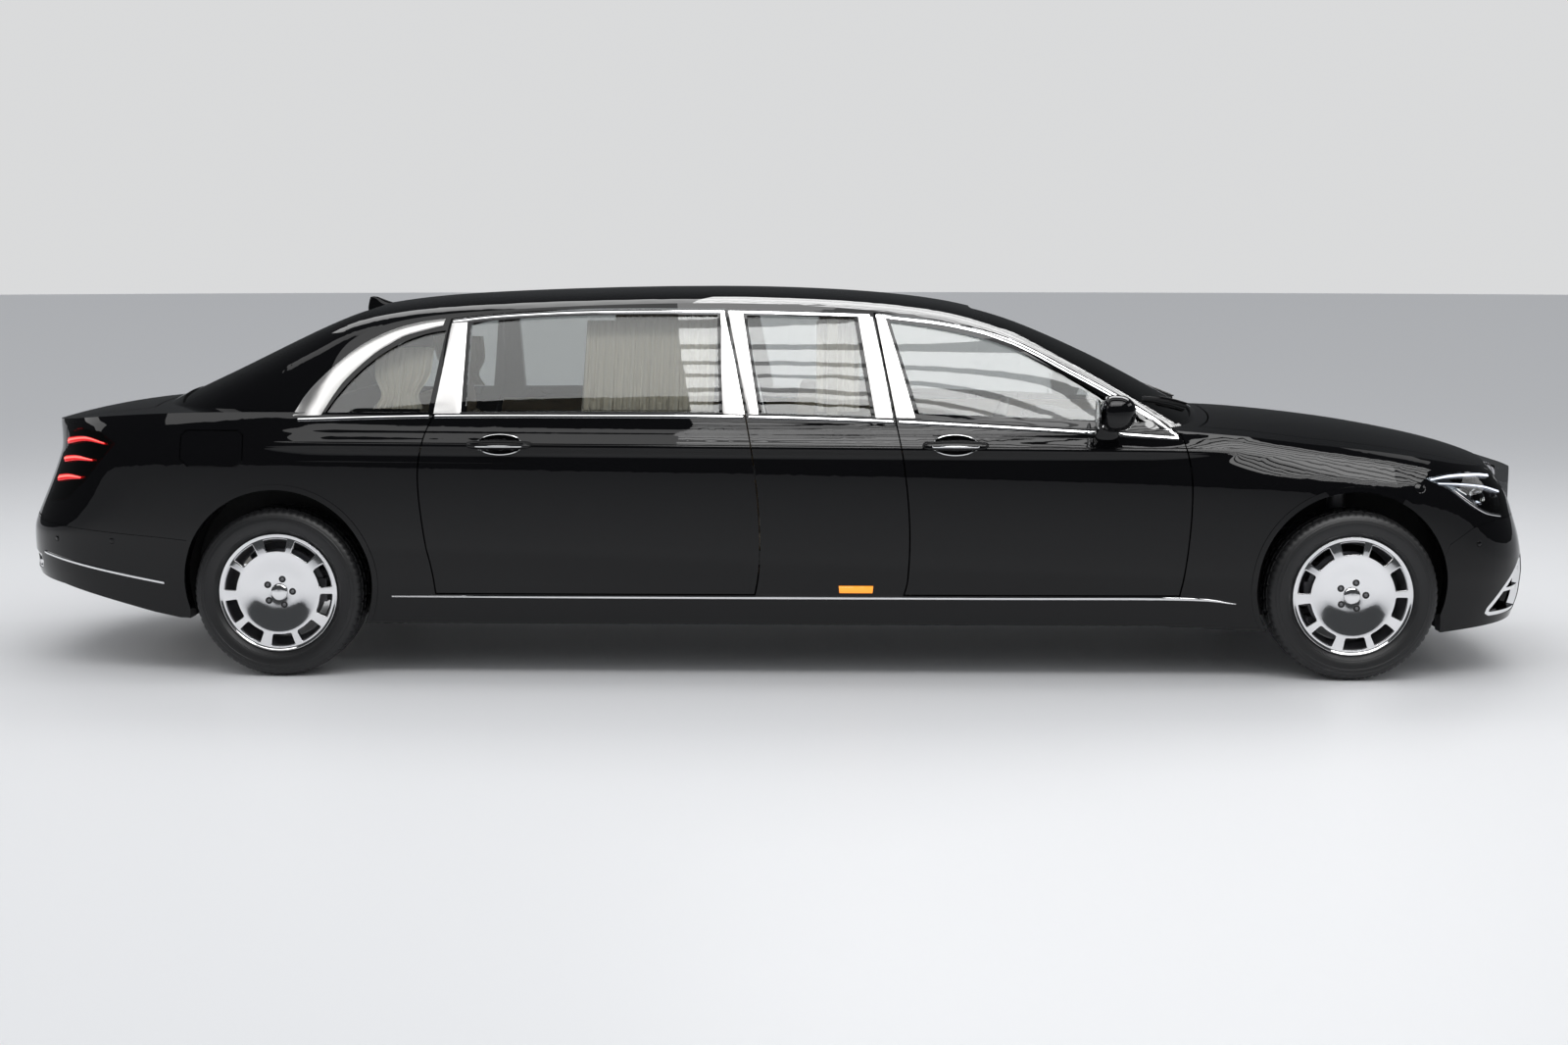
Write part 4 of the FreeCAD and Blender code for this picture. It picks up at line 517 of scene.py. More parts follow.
for side, sign in SIDES.items():
    skin = SKIN[side]
    rides = {row: "door_%s_%s" % (row, side) for row in ("front", "rear")}
    for part, places in TOP_PARTS.items():
        line = cut_line(TOP_LINE, *places)
        band("top_line_%s_%s" % (part, side), skin, offset_line(line, TOP_EDGES[0]),
             offset_line(line, TOP_EDGES[1]), TOP_RISE, CHROME, rides.get(part, "car"))
    for part, places in BELT_PARTS.items():
        line, body = cut_line(BELT_LOW, *places), rides.get(part, "car")
        band("belt_line_%s_%s" % (part, side), skin, line, offset_line(line, BELT_WIDTH),
             BELT_RISE, CHROME, body)
        if part != "quarter":
            edges = [offset_line(line, BELT_WIDTH + further) for further in BELT_SEAL]
            band("belt_seal_%s_%s" % (part, side), skin, *edges, SEAL_RISE, SEAL, body, "interior")
    for part, (row, edge_a, edge_b) in PILLARS.items():
        band("pillar_trim_%s_%s" % (part, side), skin, edge_a, edge_b, PILLAR_RISE, BRUSHED,
             rides.get(row, "car"), count=30, profile=FLAT)
    for name, (edge_a, edge_b, rise, mat, count) in LOW_STRIPS.items():
        band("%s_%s" % (name, side), skin, edge_a, edge_b, rise, mat, "car",
             "lamp_red" if mat is AMBER else "grille", count)

# Handles: a bar over a ringed bowl, with a bright inlay.
HANDLE_Z = 0.968
HANDLE_X = {"front": 0.775, "rear": -1.082}
HANDLE_STAND = 0.03
HANDLE_FEET = ((0.122, -0.006), (0.121, 0.012))
HANDLE_BAR = ((0.112, 0.001), (0.08, 0.003), (0.03, 0.003))
HANDLE_SIZES = [(0.016, 0.0135), (0.015, 0.014), (0.0145, 0.0155), (0.014, 0.0195), (0.014, 0.022)]
RING_SIZE = (0.094, 0.0415)
RING_SECTION = ((-0.002, -0.003), (-0.0018, 0.0008), (0.0, 0.0018), (0.0018, 0.0008),
                (0.002, -0.003))
FOOT_PLACE = 0.128
BOWL_PLACE = 0.16
INLAY_HALF = 0.1
INLAY_STAND = 0.015
INLAY_BEND = 0.02
INLAY_DROP = 0.004
INLAY_SIZE = (0.0035, 0.005)
for side, sign in SIDES.items():
    skin = SKIN[side]
    for row, x in HANDLE_X.items():
        body, tag = "door_%s_%s" % (row, side), "_%s_%s" % (row, side)
        stand = skin.depth(x + BOWL_PLACE, HANDLE_Z) + HANDLE_STAND
        path = []
        for way in (-1, 1):
            foot = skin.depth(x + way * FOOT_PLACE, HANDLE_Z)
            half = [(share, foot + rise) for share, rise in HANDLE_FEET]
            half += [(share, stand + rise) for share, rise in HANDLE_BAR]
            path += [Vector((x + way * share, sign * y, HANDLE_Z)) for share, y in half[::-way]]
        Form().sweep(path, HANDLE_SIZES + HANDLE_SIZES[::-1], 24).piece(
            "handle" + tag, PAINT, body, "paint", levels=1)
        inlay = [Vector((x + share, sign * (stand + INLAY_STAND - abs(share) * INLAY_BEND),
                         HANDLE_Z - INLAY_DROP)) for share in spread(-INLAY_HALF, INLAY_HALF, 9)]
        Form().sweep(inlay, [INLAY_SIZE] * 9, 12).piece("handle_inlay" + tag, CHROME, body,
                                                        "grille", levels=1)
        ring = [[skin.lifted(x + (RING_SIZE[0] + wide) * cos(a),
                             HANDLE_Z + (RING_SIZE[1] + wide) * sin(a), rise)
                 for wide, rise in RING_SECTION] for a in turns(64)]
        Form().grid(ring, looped=True).piece("handle_ring" + tag, CHROME, body, "grille")

# Mirrors: rings of y, x, z, half length and half height, from the foot outward.
MIRROR = ((0.868, 1.395, 1.052, 0.04, 0.018), (0.905, 1.395, 1.066, 0.062, 0.034),
          (0.925, 1.396, 1.084, 0.078, 0.056), (0.955, 1.398, 1.096, 0.09, 0.07),
          (0.995, 1.402, 1.103, 0.094, 0.076), (1.035, 1.402, 1.107, 0.088, 0.074),
          (1.066, 1.398, 1.109, 0.072, 0.064), (1.085, 1.392, 1.109, 0.048, 0.044),
          (1.094, 1.388, 1.109, 0.016, 0.016))
MIRROR_FACE = ((1.0, 1.3435), (0.93, 1.34), (0.86, 1.3425), (0.01, 1.3425))
MIRROR_LAMP = ((0.93, 1.4735), (0.965, 1.487), (1.0, 1.4935), (1.035, 1.4875), (1.062, 1.472))
MIRROR_FOOT = ((-0.012, 0.99), (0.008, 1.01), (0.028, 1.036), (0.05, 1.058))
REAR_SHARE = 0.55
MIRROR_STEPS = 28
FACE_PLACE = (0.992, 1.101)
FACE_HALF = (0.078, 0.058)
LAMP_Z = 1.096
FOOT_X = 1.392
FOOT_SIZES = ((0.062, 0.02), (0.05, 0.018), (0.042, 0.018), (0.04, 0.018))
for side, sign in SIDES.items():
    door = "door_front_" + side
    rows = []
    for y, x, z, half_x, half_z in MIRROR:
        ring = [squared(a, 0.75, 0.85) for a in turns(MIRROR_STEPS)]
        rows.append([Vector((x + half_x * c * (REAR_SHARE if c < 0 else 1), sign * y,
                             z + half_z * v)) for c, v in ring])
    form = Form().grid(rows, around=True).lid(MIRROR_STEPS, MIRROR_STEPS * len(rows))
    housing = form.lid(MIRROR_STEPS).piece("mirror_housing_" + side, PAINT, door, "paint", levels=1)
    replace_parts(housing, "mirror_" + side)
    rows = [[Vector((x, sign * (FACE_PLACE[0] + FACE_HALF[0] * reach * c),
                     FACE_PLACE[1] + FACE_HALF[1] * reach * v))
             for c, v in (squared(a, 0.6, 0.6) for a in turns(36))] for reach, x in MIRROR_FACE]
    Form().grid(rows, around=True).piece("mirror_glass_" + side, SILVERED, door, "glass")
    lamp = [Vector((x, sign * y, LAMP_Z)) for y, x in MIRROR_LAMP]
    Form().sweep(lamp, [(0.004, 0.0045)] * 5, 10).piece("mirror_lamp_" + side, LENS, door,
                                                        "lamp_clear", levels=1)
    root = SKIN[side].depth(1.39, 1.0)
    foot = [Vector((FOOT_X, sign * (root + rise), z)) for rise, z in MIRROR_FOOT]
    Form().sweep(foot, FOOT_SIZES, 20).piece("mirror_foot_" + side, PAINT, door, "paint", levels=1)

# The wheels: a tyre with its tread, a pierced polished face, a barrel, a brake and bolts.
HALF_TYRE = [(0.2326, 0.084), (0.2326, 0.0912), (0.2462, 0.092), (0.25, 0.0975), (0.256, 0.106),
             (0.262, 0.1122), (0.264, 0.115), (0.2665, 0.115), (0.268, 0.116), (0.28, 0.1195),
             (0.292, 0.1218), (0.299, 0.1219), (0.3, 0.1228), (0.305, 0.1226), (0.306, 0.1212),
             (0.316, 0.1185), (0.317, 0.119), (0.319, 0.118), (0.32, 0.1165), (0.33, 0.1125),
             (0.3372, 0.1065), (0.3415, 0.1), (0.345, 0.093), (0.3472, 0.086), (0.348, 0.081),
             (0.342, 0.08), (0.342, 0.0725), (0.3488, 0.0715), (0.3494, 0.06), (0.3498, 0.045),
             (0.3499, 0.0345), (0.343, 0.0335), (0.343, 0.0255), (0.35, 0.0245), (0.35, 0.01)]
TYRE_STEPS = 280
# Cuts of the tread: first and last row, every how many steps, from which step, and how deep.
TREAD_CUTS = ((20, 24, 4, 0, 0.0036), (27, 30, 7, 2, 0.0038), (33, 99, 7, 4, 0.003))
TREAD_SWING = 0.0035


def tyre(name, centre, out, body):
    """A tyre with ribs, grooves and cut shoulders."""
    profile = HALF_TYRE + [(r, -s) for r, s in HALF_TYRE[::-1]]
    rows = []
    for k, a in enumerate(turns(TYRE_STEPS)):
        row = []
        for i, (r, s) in enumerate(profile):
            rib = min(i, len(profile) - 1 - i)
            for first, last, pitch, start, deep in TREAD_CUTS:
                if first <= rib <= last and (k + start) % pitch == 0:
                    r -= deep
            swing = a + copysign(TREAD_SWING, s) * (rib >= 24)
            row.append(Vector((centre[0] + r * sin(swing), centre[1] + out * s,
                               centre[2] + r * cos(swing))))
        rows.append(row)
    return Form().grid(rows, around=True, looped=True).piece(name, RUBBER, body, "tyre", sharp=30.0)


# The wheel's face: points of radius and side offset, and the angles of its edges in degrees.
FACE_ROWS = [(0.0345, 0.079), (0.04, 0.08), (0.05, 0.0812), (0.064, 0.0822), (0.078, 0.0835),
             (0.096, 0.0862), (0.12, 0.0925), (0.145, 0.0975), (0.161, 0.1), (0.1705, 0.1004),
             (0.1735, 0.1005), (0.188, 0.1), (0.206, 0.0985), (0.2205, 0.0965), (0.2255, 0.0955),
             (0.229, 0.0948), (0.2325, 0.0945), (0.235, 0.0952), (0.2378, 0.0968), (0.241, 0.0992),
             (0.2437, 0.1002), (0.2455, 0.0992), (0.2458, 0.096), (0.2452, 0.0925)]
WINDOW_ROWS = range(10, 14)
WINDOW_RADII = (0.17, 0.23)
WINDOW_DEPTHS = (0.0022, 0.02)
PAIRS = 5
FIRST_PAIR = 75.0
PAIR_SHIFT = 38.0
WINDOW_COLUMNS = (4.2, 10.0, 17.0, 24.0, 29.8)
SPOKE_COLUMNS = (-2.6, 0.0, 2.6)
WIDE_COLUMNS = (31.4, 36.0, 40.6)


def wheel_face(name, centre, out, body):
    """The polished disc with ten windows in five pairs."""
    angles, windows = [], set()
    for k in range(PAIRS):
        start = FIRST_PAIR + 360.0 / PAIRS * k
        angles += [start + turn for turn in SPOKE_COLUMNS]
        for base in (0.0, PAIR_SHIFT):
            first = len(angles)
            angles += [start + base + turn for turn in WINDOW_COLUMNS]
            windows.update(range(first, first + len(WINDOW_COLUMNS) - 1))
            if base == 0.0:
                angles += [start + turn for turn in WIDE_COLUMNS]
    rows = [[Vector((centre[0] + r * cos(radians(a)), centre[1] + out * s,
                     centre[2] + r * sin(radians(a)))) for a in angles]
            for r, s in FACE_ROWS]
    holes = {(i, j) for i in WINDOW_ROWS for j in windows}
    form = Form().grid(rows, around=True, skip=holes)
    mesh = bpy.data.meshes.new(name)
    mesh.from_pydata([tuple(v) for v in form.verts], [], form.faces)
    work = bmesh.new()
    work.from_mesh(mesh)
    bpy.data.meshes.remove(mesh)
    for depth in WINDOW_DEPTHS:
        open_edges = [e for e in work.edges if len(e.link_faces) == 1
                      and all(WINDOW_RADII[0] < hypot(v.co.x - centre[0], v.co.z - centre[2])
                              < WINDOW_RADII[1] for v in e.verts)]
        for v in bmesh.ops.extrude_edge_only(work, edges=open_edges)["geom"]:
            if isinstance(v, bmesh.types.BMVert):
                v.co.y -= out * depth
    return mesh_piece(name, *points_and_faces(work), ALLOY, body, "alloy", levels=2)


BARREL_LINE = [(0.2452, 0.0925), (0.233, 0.0905), (0.225, 0.086), (0.223, 0.06), (0.212, 0.04),
               (0.208, 0.0), (0.208, -0.05), (0.223, -0.08), (0.233, -0.09), (0.245, -0.0925),
               (0.2458, -0.0995), (0.24, -0.0998), (0.226, -0.088), (0.216, -0.079), (0.203, -0.05),
               (0.203, 0.0), (0.207, 0.04), (0.218, 0.062), (0.22, 0.08), (0.223, 0.09)]
BRAKE_LINE = [(0.07, 0.0), (0.09, 0.0), (0.092, 0.002), (0.17, 0.002), (0.172, 0.0005),
              (0.172, -0.0245), (0.17, -0.026), (0.092, -0.026), (0.09, -0.024), (0.07, -0.024)]
HUB_LINE = [(0.02, 0.064), (0.076, 0.066), (0.079, 0.06), (0.08, 0.004), (0.078, 0.002),
            (0.02, 0.002)]
CAP_LINE = [(0.0, 0.0905), (0.015, 0.09), (0.026, 0.0882), (0.031, 0.0862), (0.0335, 0.0835),
            (0.034, 0.077), (0.0, 0.077)]
BOLT_LINE = [(0.0, 0.085), (0.006, 0.0848), (0.0074, 0.0836), (0.0076, 0.0824)]
# The cup in each bolt's recess, lined dark as painted shade.
SHADE_CUP_LINE = [(0.0, 0.0826), (0.0115, 0.0827), (0.0128, 0.0832), (0.0136, 0.0842), (0.0144, 0.0832),
            (0.0146, 0.081), (0.0, 0.081)]
BOLT_CIRCLE = 0.056
for name, x, out in (("front_right", FRONT_AXLE_X, -1), ("front_left", FRONT_AXLE_X, 1),
                     ("rear_right", REAR_AXLE_X, -1), ("rear_left", REAR_AXLE_X, 1)):
    centre, body = (x, out * WHEEL_Y, WHEEL_Z), "wheel_" + name
    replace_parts(tyre("tyre_body_" + name, centre, out, body), "tyre_" + name)
    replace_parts(wheel_face("wheel_face_" + name, centre, out, body), "rim_" + name)
    Form().lathe(BARREL_LINE, centre, 96, out).piece("wheel_barrel_" + name, BARREL, body, "alloy")
    Form().lathe(BRAKE_LINE, centre, 96, out).lathe(HUB_LINE, centre, 48, out).piece(
        "brake_disc_" + name, CAST, body, "cast")
    Form().lathe(CAP_LINE, centre, 48, out, closed=False).piece("wheel_cap_" + name, ALLOY,
                                                               body, "alloy")
    # Each bolt sits in a cup lined with black rubber seal. This is painted shade that stands for
    # the shade deep in the bolt's recess.
    bolts, shade_cups = Form(), Form()
    for k in range(PAIRS):
        a = radians(FIRST_PAIR + 360.0 / PAIRS * k)
        spot = (x + BOLT_CIRCLE * cos(a), centre[1], WHEEL_Z + BOLT_CIRCLE * sin(a))
        bolts.lathe(BOLT_LINE, spot, 6, out, closed=False)
        shade_cups.lathe(SHADE_CUP_LINE, spot, 24, out, closed=False)
    bolts.piece("wheel_bolts_" + name, CAST, body, "cast", sharp=25.0)
    shade_cups.piece("bolt_cups_" + name, SEAL, body, "alloy")

# Lamps: red bars behind the tail lenses, bright brows in the headlamps.
TAIL_BARS = {
    "top": (((-2.735, 0.965), (-2.83, 0.985), (-2.93, 0.975), (-3.01, 0.952)),
            ((-2.735, 0.958), (-2.83, 0.968), (-2.93, 0.95), (-3.01, 0.928))),
    "middle": (((-2.79, 0.895), (-2.88, 0.905), (-2.97, 0.893), (-3.035, 0.875)),
               ((-2.79, 0.888), (-2.88, 0.885), (-2.97, 0.868), (-3.035, 0.85))),
    "low": (((-2.85, 0.82), (-2.92, 0.826), (-2.99, 0.815), (-3.05, 0.8)),
            ((-2.85, 0.812), (-2.92, 0.804), (-2.99, 0.79), (-3.05, 0.776))),
}
# Kind, where it lies across a bar, half height at the rear face, height over the lens, look.
TAIL_KINDS = (("bar", 0.0, 1.0, 0.011, 0.0015, RED_BAR),
              ("core", 0.18, 0.55, 0.004, 0.0028, RED_CORE))
LENS_INNER_Y = 0.678
LAMP_STEPS = 24
BAR_HALF = 0.011
BAR_OVERLAP = 0.002
BAR_TAPER = 0.7
HEAD_RISE = 0.0012
HEAD_LINES = {
    "brow": (((2.715, 0.828), (2.81, 0.842), (2.93, 0.84), (3.01, 0.828)),
             ((2.715, 0.823), (2.81, 0.833), (2.93, 0.831), (3.01, 0.819)), WHITE_BAR),
    "line": (((2.745, 0.812), (2.85, 0.806), (2.96, 0.79), (3.05, 0.762)),
             ((2.748, 0.808), (2.85, 0.801), (2.96, 0.784), (3.05, 0.755)), WHITE_BAR),
    "bezel": (((2.815, 0.783), (2.885, 0.733), (2.96, 0.69), (3.04, 0.67)),
              ((2.808, 0.78), (2.88, 0.726), (2.958, 0.681), (3.04, 0.661)), CHROME),
}
RING_LINE = ((0.037, -0.0078), (0.037, -0.0056), (0.033, -0.0052), (0.029, -0.0078))
DOME_LINE = ((0.029, -0.0078), (0.025, -0.0062), (0.015, -0.0054), (0.001, -0.0052))
COVER_LINE = ((0.024, -0.002), (0.0236, 0.0006), (0.0215, 0.0002), (0.0205, 0.001), (0.001, 0.0014))
SENSOR_LINE = ((0.013, -0.002), (0.0128, 0.0008), (0.011, 0.0002), (0.0095, 0.0012),
               (0.001, 0.0014))
HEAD_SPOTS = ((2.93, 0.752), (3.02, 0.728))
WASHER_SPOTS = ((2.667, 0.795),)
SENSOR_SPOTS = ((-2.711, 0.56), (-2.98, 0.555), (2.93, 0.56))


def between(edge_a, edge_b, share):
    """A line between two edge lines."""
    return [Vector(a).lerp(Vector(b), share) for a, b in zip(edge_a, edge_b)]


for side, sign in SIDES.items():
    tail, head = (Skin((lens,), 1, sign) for lens in ("tail_lamps", "headlamps"))
    for part, (edge_a, edge_b) in TAIL_BARS.items():
        reached = [p for p in smooth_line(between(edge_a, edge_b, 0.5), LAMP_STEPS)
                   if None not in [tail.lifted(p.x, p.y + way * BAR_HALF, 0.0) for way in (-1, 1)]]
        z, reach = reached[-1].y, sign * (tail.depth(*reached[-1]) - BAR_OVERLAP)
        for kind, from_a, to_b, _, rise, mat in TAIL_KINDS:
            band("tail_%s_%s_%s" % (kind, part, side), tail, between(edge_a, edge_b, from_a),
                 between(edge_a, edge_b, to_b), rise, mat, "car", "lamp_red", LAMP_STEPS)
        for kind, _, _, half, rise, mat in TAIL_KINDS:
            inner, thin = sign * LENS_INNER_Y, half * BAR_TAPER
            band("tail_%s_%s_end_%s" % (kind, part, side), REAR,
                 ((inner, z + thin), (reach, z + half)), ((inner, z - thin), (reach, z - half)),
                 rise, mat, "car", "lamp_red", LAMP_STEPS)
    for part, (edge_a, edge_b, mat) in HEAD_LINES.items():
        band("head_%s_%s" % (part, side), head, edge_a, edge_b, HEAD_RISE, mat, "car",
             "lamp_clear", LAMP_STEPS)
    for name, skin, spots, line, steps, mat, slot in (
            ("head_rings_", head, HEAD_SPOTS, RING_LINE, 36, CHROME, "lamp_bowl"),
            ("head_domes_", head, HEAD_SPOTS, DOME_LINE, 36, WHITE_BAR, "lamp_clear"),
            ("washer_cover_", SKIN[side], WASHER_SPOTS, COVER_LINE, 36, PAINT, "paint"),
            ("parking_sensors_", SKIN[side], SENSOR_SPOTS, SENSOR_LINE, 24, PAINT, "paint")):
        form = Form()
        for u, v in spots:
            boss(form, skin, u, v, line, steps)
        form.piece(name + side, mat, "car", slot)

# The antenna fin: rings of share of its rise, half length, half width and height.
FIN = ((0.0, 0.062, 0.02, -0.006), (0.15, 0.06, 0.018, 0.006), (0.45, 0.044, 0.012, 0.024),
       (0.75, 0.028, 0.007, 0.038), (1.0, 0.014, 0.003, 0.048))
FIN_X = -1.745
FIN_RAKE = 0.038
rows = []
for share, half, wide, rise in FIN:
    row = []
    for a in turns(24):
        x = FIN_X - share * FIN_RAKE + half * cos(a)
        roof = TOP.depth(x, 0.0) * (1 - share) + TOP.depth(FIN_X, 0.0) * share
        row.append(Vector((x, wide * sin(a), roof + rise)))
    rows.append(row)
Form().grid(rows, around=True).lid(24).piece("antenna_fin", PAINT, "car", "paint", levels=1)

# The wipers, the blank plate and the tail pipes' tips.
WINDSCREEN = Skin(("windscreen",), 2, 1)
WIPER_RUNS = {"right": ((1.8, -0.3), (1.56, -0.66)), "left": ((1.815, 0.18), (1.52, 0.58))}
BLADE_LIFT = 0.01
ARM_SHIFT = Vector((0.004, 0, 0.012))
for side, (start, end) in WIPER_RUNS.items():
    run = [Vector(start).lerp(Vector(end), share) for share in spread(0.0, 1.0, 12)]
    blade = [point for point in [WINDSCREEN.lifted(*p, BLADE_LIFT) for p in run] if point]
    arm = [point + ARM_SHIFT for point in blade[:len(blade) * 2 // 3]]
    Form().sweep(blade, [(0.004, 0.009)] * len(blade), 8).piece("wiper_blade_" + side, SEAL)
    Form().sweep(arm, [(0.007, 0.004)] * len(arm), 8).piece("wiper_arm_" + side, DARK)
PLATE_HALF = 0.258
PLATE_Z = (0.709, 0.816)
PLATE_LIFT = 0.004
rows = [[Vector((-REAR.cast(y, z) - PLATE_LIFT, y, z))
         for y in spread(-PLATE_HALF, PLATE_HALF, 33)] for z in spread(*PLATE_Z, 9)]
rearmost = min(point.x for row in rows for point in row)
for row in rows:
    for point in row:
        point.x = (rearmost + point.x) / 2
Form().grid(rows).piece("plate_rear", PLATE, "boot_lid")
TIP_LINE = ((-3.05, 0.0245), (-3.118, 0.025), (-3.123, 0.0243), (-3.123, 0.0205), (-3.118, 0.0195),
            (-3.06, 0.019))
TIP_Y = 0.56
TIP_Z = 0.438
for side, sign in SIDES.items():
    rows = [[Vector((x, sign * TIP_Y + r * cos(a), TIP_Z + r * sin(a)))
             for a in turns(40)] for x, r in TIP_LINE]
    Form().grid(rows, around=True).piece("tail_tip_" + side, CHROME, "car", "exhaust")

# Curtains inside the side windows, gathered in pleats.
CURTAIN_LEVELS = 15
PLEAT_STEPS = 8
PLEAT_LEAN = 0.004
WAIST_PLACE = 0.22
INWARD = 0.105
RAIL_RISE = 0.035
HEM_DROP = 0.06


def curtain(name, side, body, rests_on, start, end, low, high, pleats, deep, waist=0.0):
    """A pleated curtain that hangs inside a window along a rail."""
    middle = (start + end) / 2
    hem, rail = [SKIN[side].depth(middle, z) or 0.9 for z in (low - HEM_DROP, high + RAIL_RISE)]
    rows = []
    for v in spread(0.0, 1.0, CURTAIN_LEVELS):
        depth = hem + (rail - hem) * v - INWARD
        pull = 1 - waist * exp(-((v - WAIST_PLACE) / WAIST_PLACE) ** 2)
        row = []
        for u in spread(0.0, 1.0, pleats * PLEAT_STEPS + 1):
            a = 2 * pi * pleats * u
            wave = sin(a) + 0.25 * sin(2.3 * a + 0.8 + 0.6 * v)
            x = middle + ((end - start) * (u - 0.5) + PLEAT_LEAN * sin(2 * a + v)) * pull
            y = SIDES[side] * (depth + deep * wave * (1.1 - 0.3 * v))
            row.append(Vector((x, y, low + (high - low) * v)))
        rows.append(row)
    cloth = Form().grid(rows).piece(name, CLOTH, body, "leather", sharp=180.0)


for side in SIDES:
    door = "door_rear_" + side
    for part, body, rests_on, *shape in (
            ("rear_door", door, door, -0.76, -0.215, 1.1, 1.462, 20, 0.012),
            ("middle", "car", "side_frames", 0.205, 0.385, 1.096, 1.462, 7, 0.012),
            ("quarter", "car", "rear_quarters", -1.64, -1.4, 1.104, 1.35, 9, 0.011, 0.35)):
        curtain("curtain_%s_%s" % (part, side), side, body, [rests_on], *shape)

# Seats: cushions, backs and headrests over plinths.
ROUNDING = 7.0
BLOCK_CUTS = 27


def block(name, centre, size, tilt, mat, body="car", slot="leather", puff=0.1, channels=0,
          seam=0.004):
    """A rounded block with crowned faces, pulled in edges and channels."""
    work = bmesh.new()
    bmesh.ops.create_cube(work, size=2.0)
    bmesh.ops.subdivide_edges(work, edges=work.edges, cuts=BLOCK_CUTS, use_grid_fill=True)
    turn = Matrix.Rotation(tilt, 3, "Y")
    for v in work.verts:
        p = v.co.copy()
        norm = sum(abs(c) ** ROUNDING for c in p) ** (1 / ROUNDING)
        q = p * (max(abs(c) for c in p) / norm)
        q.z *= 1 + puff * (1 - q.x ** 2) * (1 - q.y ** 2) * (1 if p.z > 0 else 0.2)
        q.x *= 1 + 0.04 * (1 - q.y ** 2) * (1 - q.z ** 2)
        q.y *= 1 + 0.03 * (1 - q.x ** 2) * (1 - q.z ** 2)
        spot = q * Vector(size)
        if channels and p.z > 0.6 and abs(q.y) < 0.72 and abs(q.x) < 0.92:
            phase = abs(sin(pi * channels * (q.x + 1) / 2))
            spot.z -= seam * (1 - phase) ** 3 * 1.6
        if p.z > 0.3 and 0.7 < abs(q.y) < 0.8:
            spot.z -= seam
        v.co = turn @ spot + Vector(centre)
    return mesh_piece(name, *points_and_faces(work), mat, body, slot, sharp=180.0)


def cushion(name, centre, size, tilt, mat=LEATHER, fill=0.7, **options):
    """A padded block."""
    piece = block(name, centre, size, tilt, mat, **options)
    return piece


SEAT_Z = 0.452
SEAT_TILT = 0.05
BACK_Z = 0.765
BACK_TILT = pi / 2 - atan2(0.11, 0.64)
HEADREST_Z = 1.08
CHANNELS = 7
POST_Z = (0.985, 1.045)
POST_RADIUS = 0.006
PLINTH_LINE = ((0.276, 0.94), (0.282, 0.98), (0.38, 1.0), (0.392, 0.97))


def seat(name, x, y, half_wide, face):
    """A seat's cushion, back and headrest on a plinth; face is 1 when it looks forward."""
    base = cushion("cushion_" + name, (x + face * 0.292, y, SEAT_Z), (0.225, half_wide, 0.066),
                   -face * SEAT_TILT, channels=CHANNELS)
    cushion("backrest_" + name, (x + face * 0.003, y, BACK_Z), (0.245, half_wide, 0.058),
            face * BACK_TILT, channels=CHANNELS, puff=0.16)
    cushion("headrest_" + name, (x - face * 0.044, y, HEADREST_Z),
            (0.072, min(0.14, half_wide * 0.6), 0.045), face * BACK_TILT, puff=0.2, fill=0.8)
    rows = [[Vector((x + face * 0.275 + 0.215 * grow * c, y + (half_wide - 0.02) * grow * v, z))
             for c, v in (squared(a, 0.35, 0.35) for a in turns(48))] for z, grow in PLINTH_LINE]
    Form().grid(rows, around=True).piece("plinth_" + name, TRIM)
    rods = Form()
    for way in (-1, 1):
        post = [Vector((x - face * 0.03, y + way * 0.05, z)) for z in POST_Z]
        rods.sweep(post, [(POST_RADIUS, POST_RADIUS)] * 2, 10, up=(0, 1, 0))
    rods.piece("headrest_posts_" + name, CHROME, "car", "grille")
    return base


SEATS = {"front_right": (0.43, -0.385, 0.25, 1), "front_left": (0.43, 0.385, 0.25, 1),
         "facing_right": (0.12, -0.385, 0.25, -1), "facing_left": (0.12, 0.385, 0.25, -1),
         "bench_right": (-1.41, -0.335, 0.27, 1), "bench_left": (-1.41, 0.335, 0.27, 1)}
bases = {name: seat(name, *places) for name, places in SEATS.items()}
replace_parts(bases["front_right"], "front_seats")
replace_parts(bases["facing_right"], "rear_seats")
cushion("armrest", (-1.13, 0.0, 0.51), (0.2, 0.06, 0.06), 0.0, fill=0.8)

# The cabin's linings.
CARD_Z = (0.375, 1.04)
CARD_ROWS = 46
CARD_STEPS = 38
CARD_LIFT = 0.006
CARD_EDGE = 0.006
HEM_WIDTH = 0.001
HEM_LIFT = 0.005
PROBES = 150
FLAT_STEP = 0.006
FLAT_INSET = 0.012
NARROWEST = 0.1


def flat_reach(skin, low, high, z):
    """How far a side stays flat both ways from the middle, or None where it isn't met."""
    places = spread(low, high, PROBES)
    depths = [skin.cast(x, z) for x in places]
    reach = []
    for step in (-1, 1):
        i = PROBES // 2
        while (0 < i < PROBES - 1 and None not in (depths[i], depths[i + step])
               and abs(depths[i + step] - depths[i]) < FLAT_STEP):
            i += step
        reach.append(places[i] - step * FLAT_INSET)
    met = depths[PROBES // 2] is not None and reach[1] - reach[0] > NARROWEST
    return reach if met else None


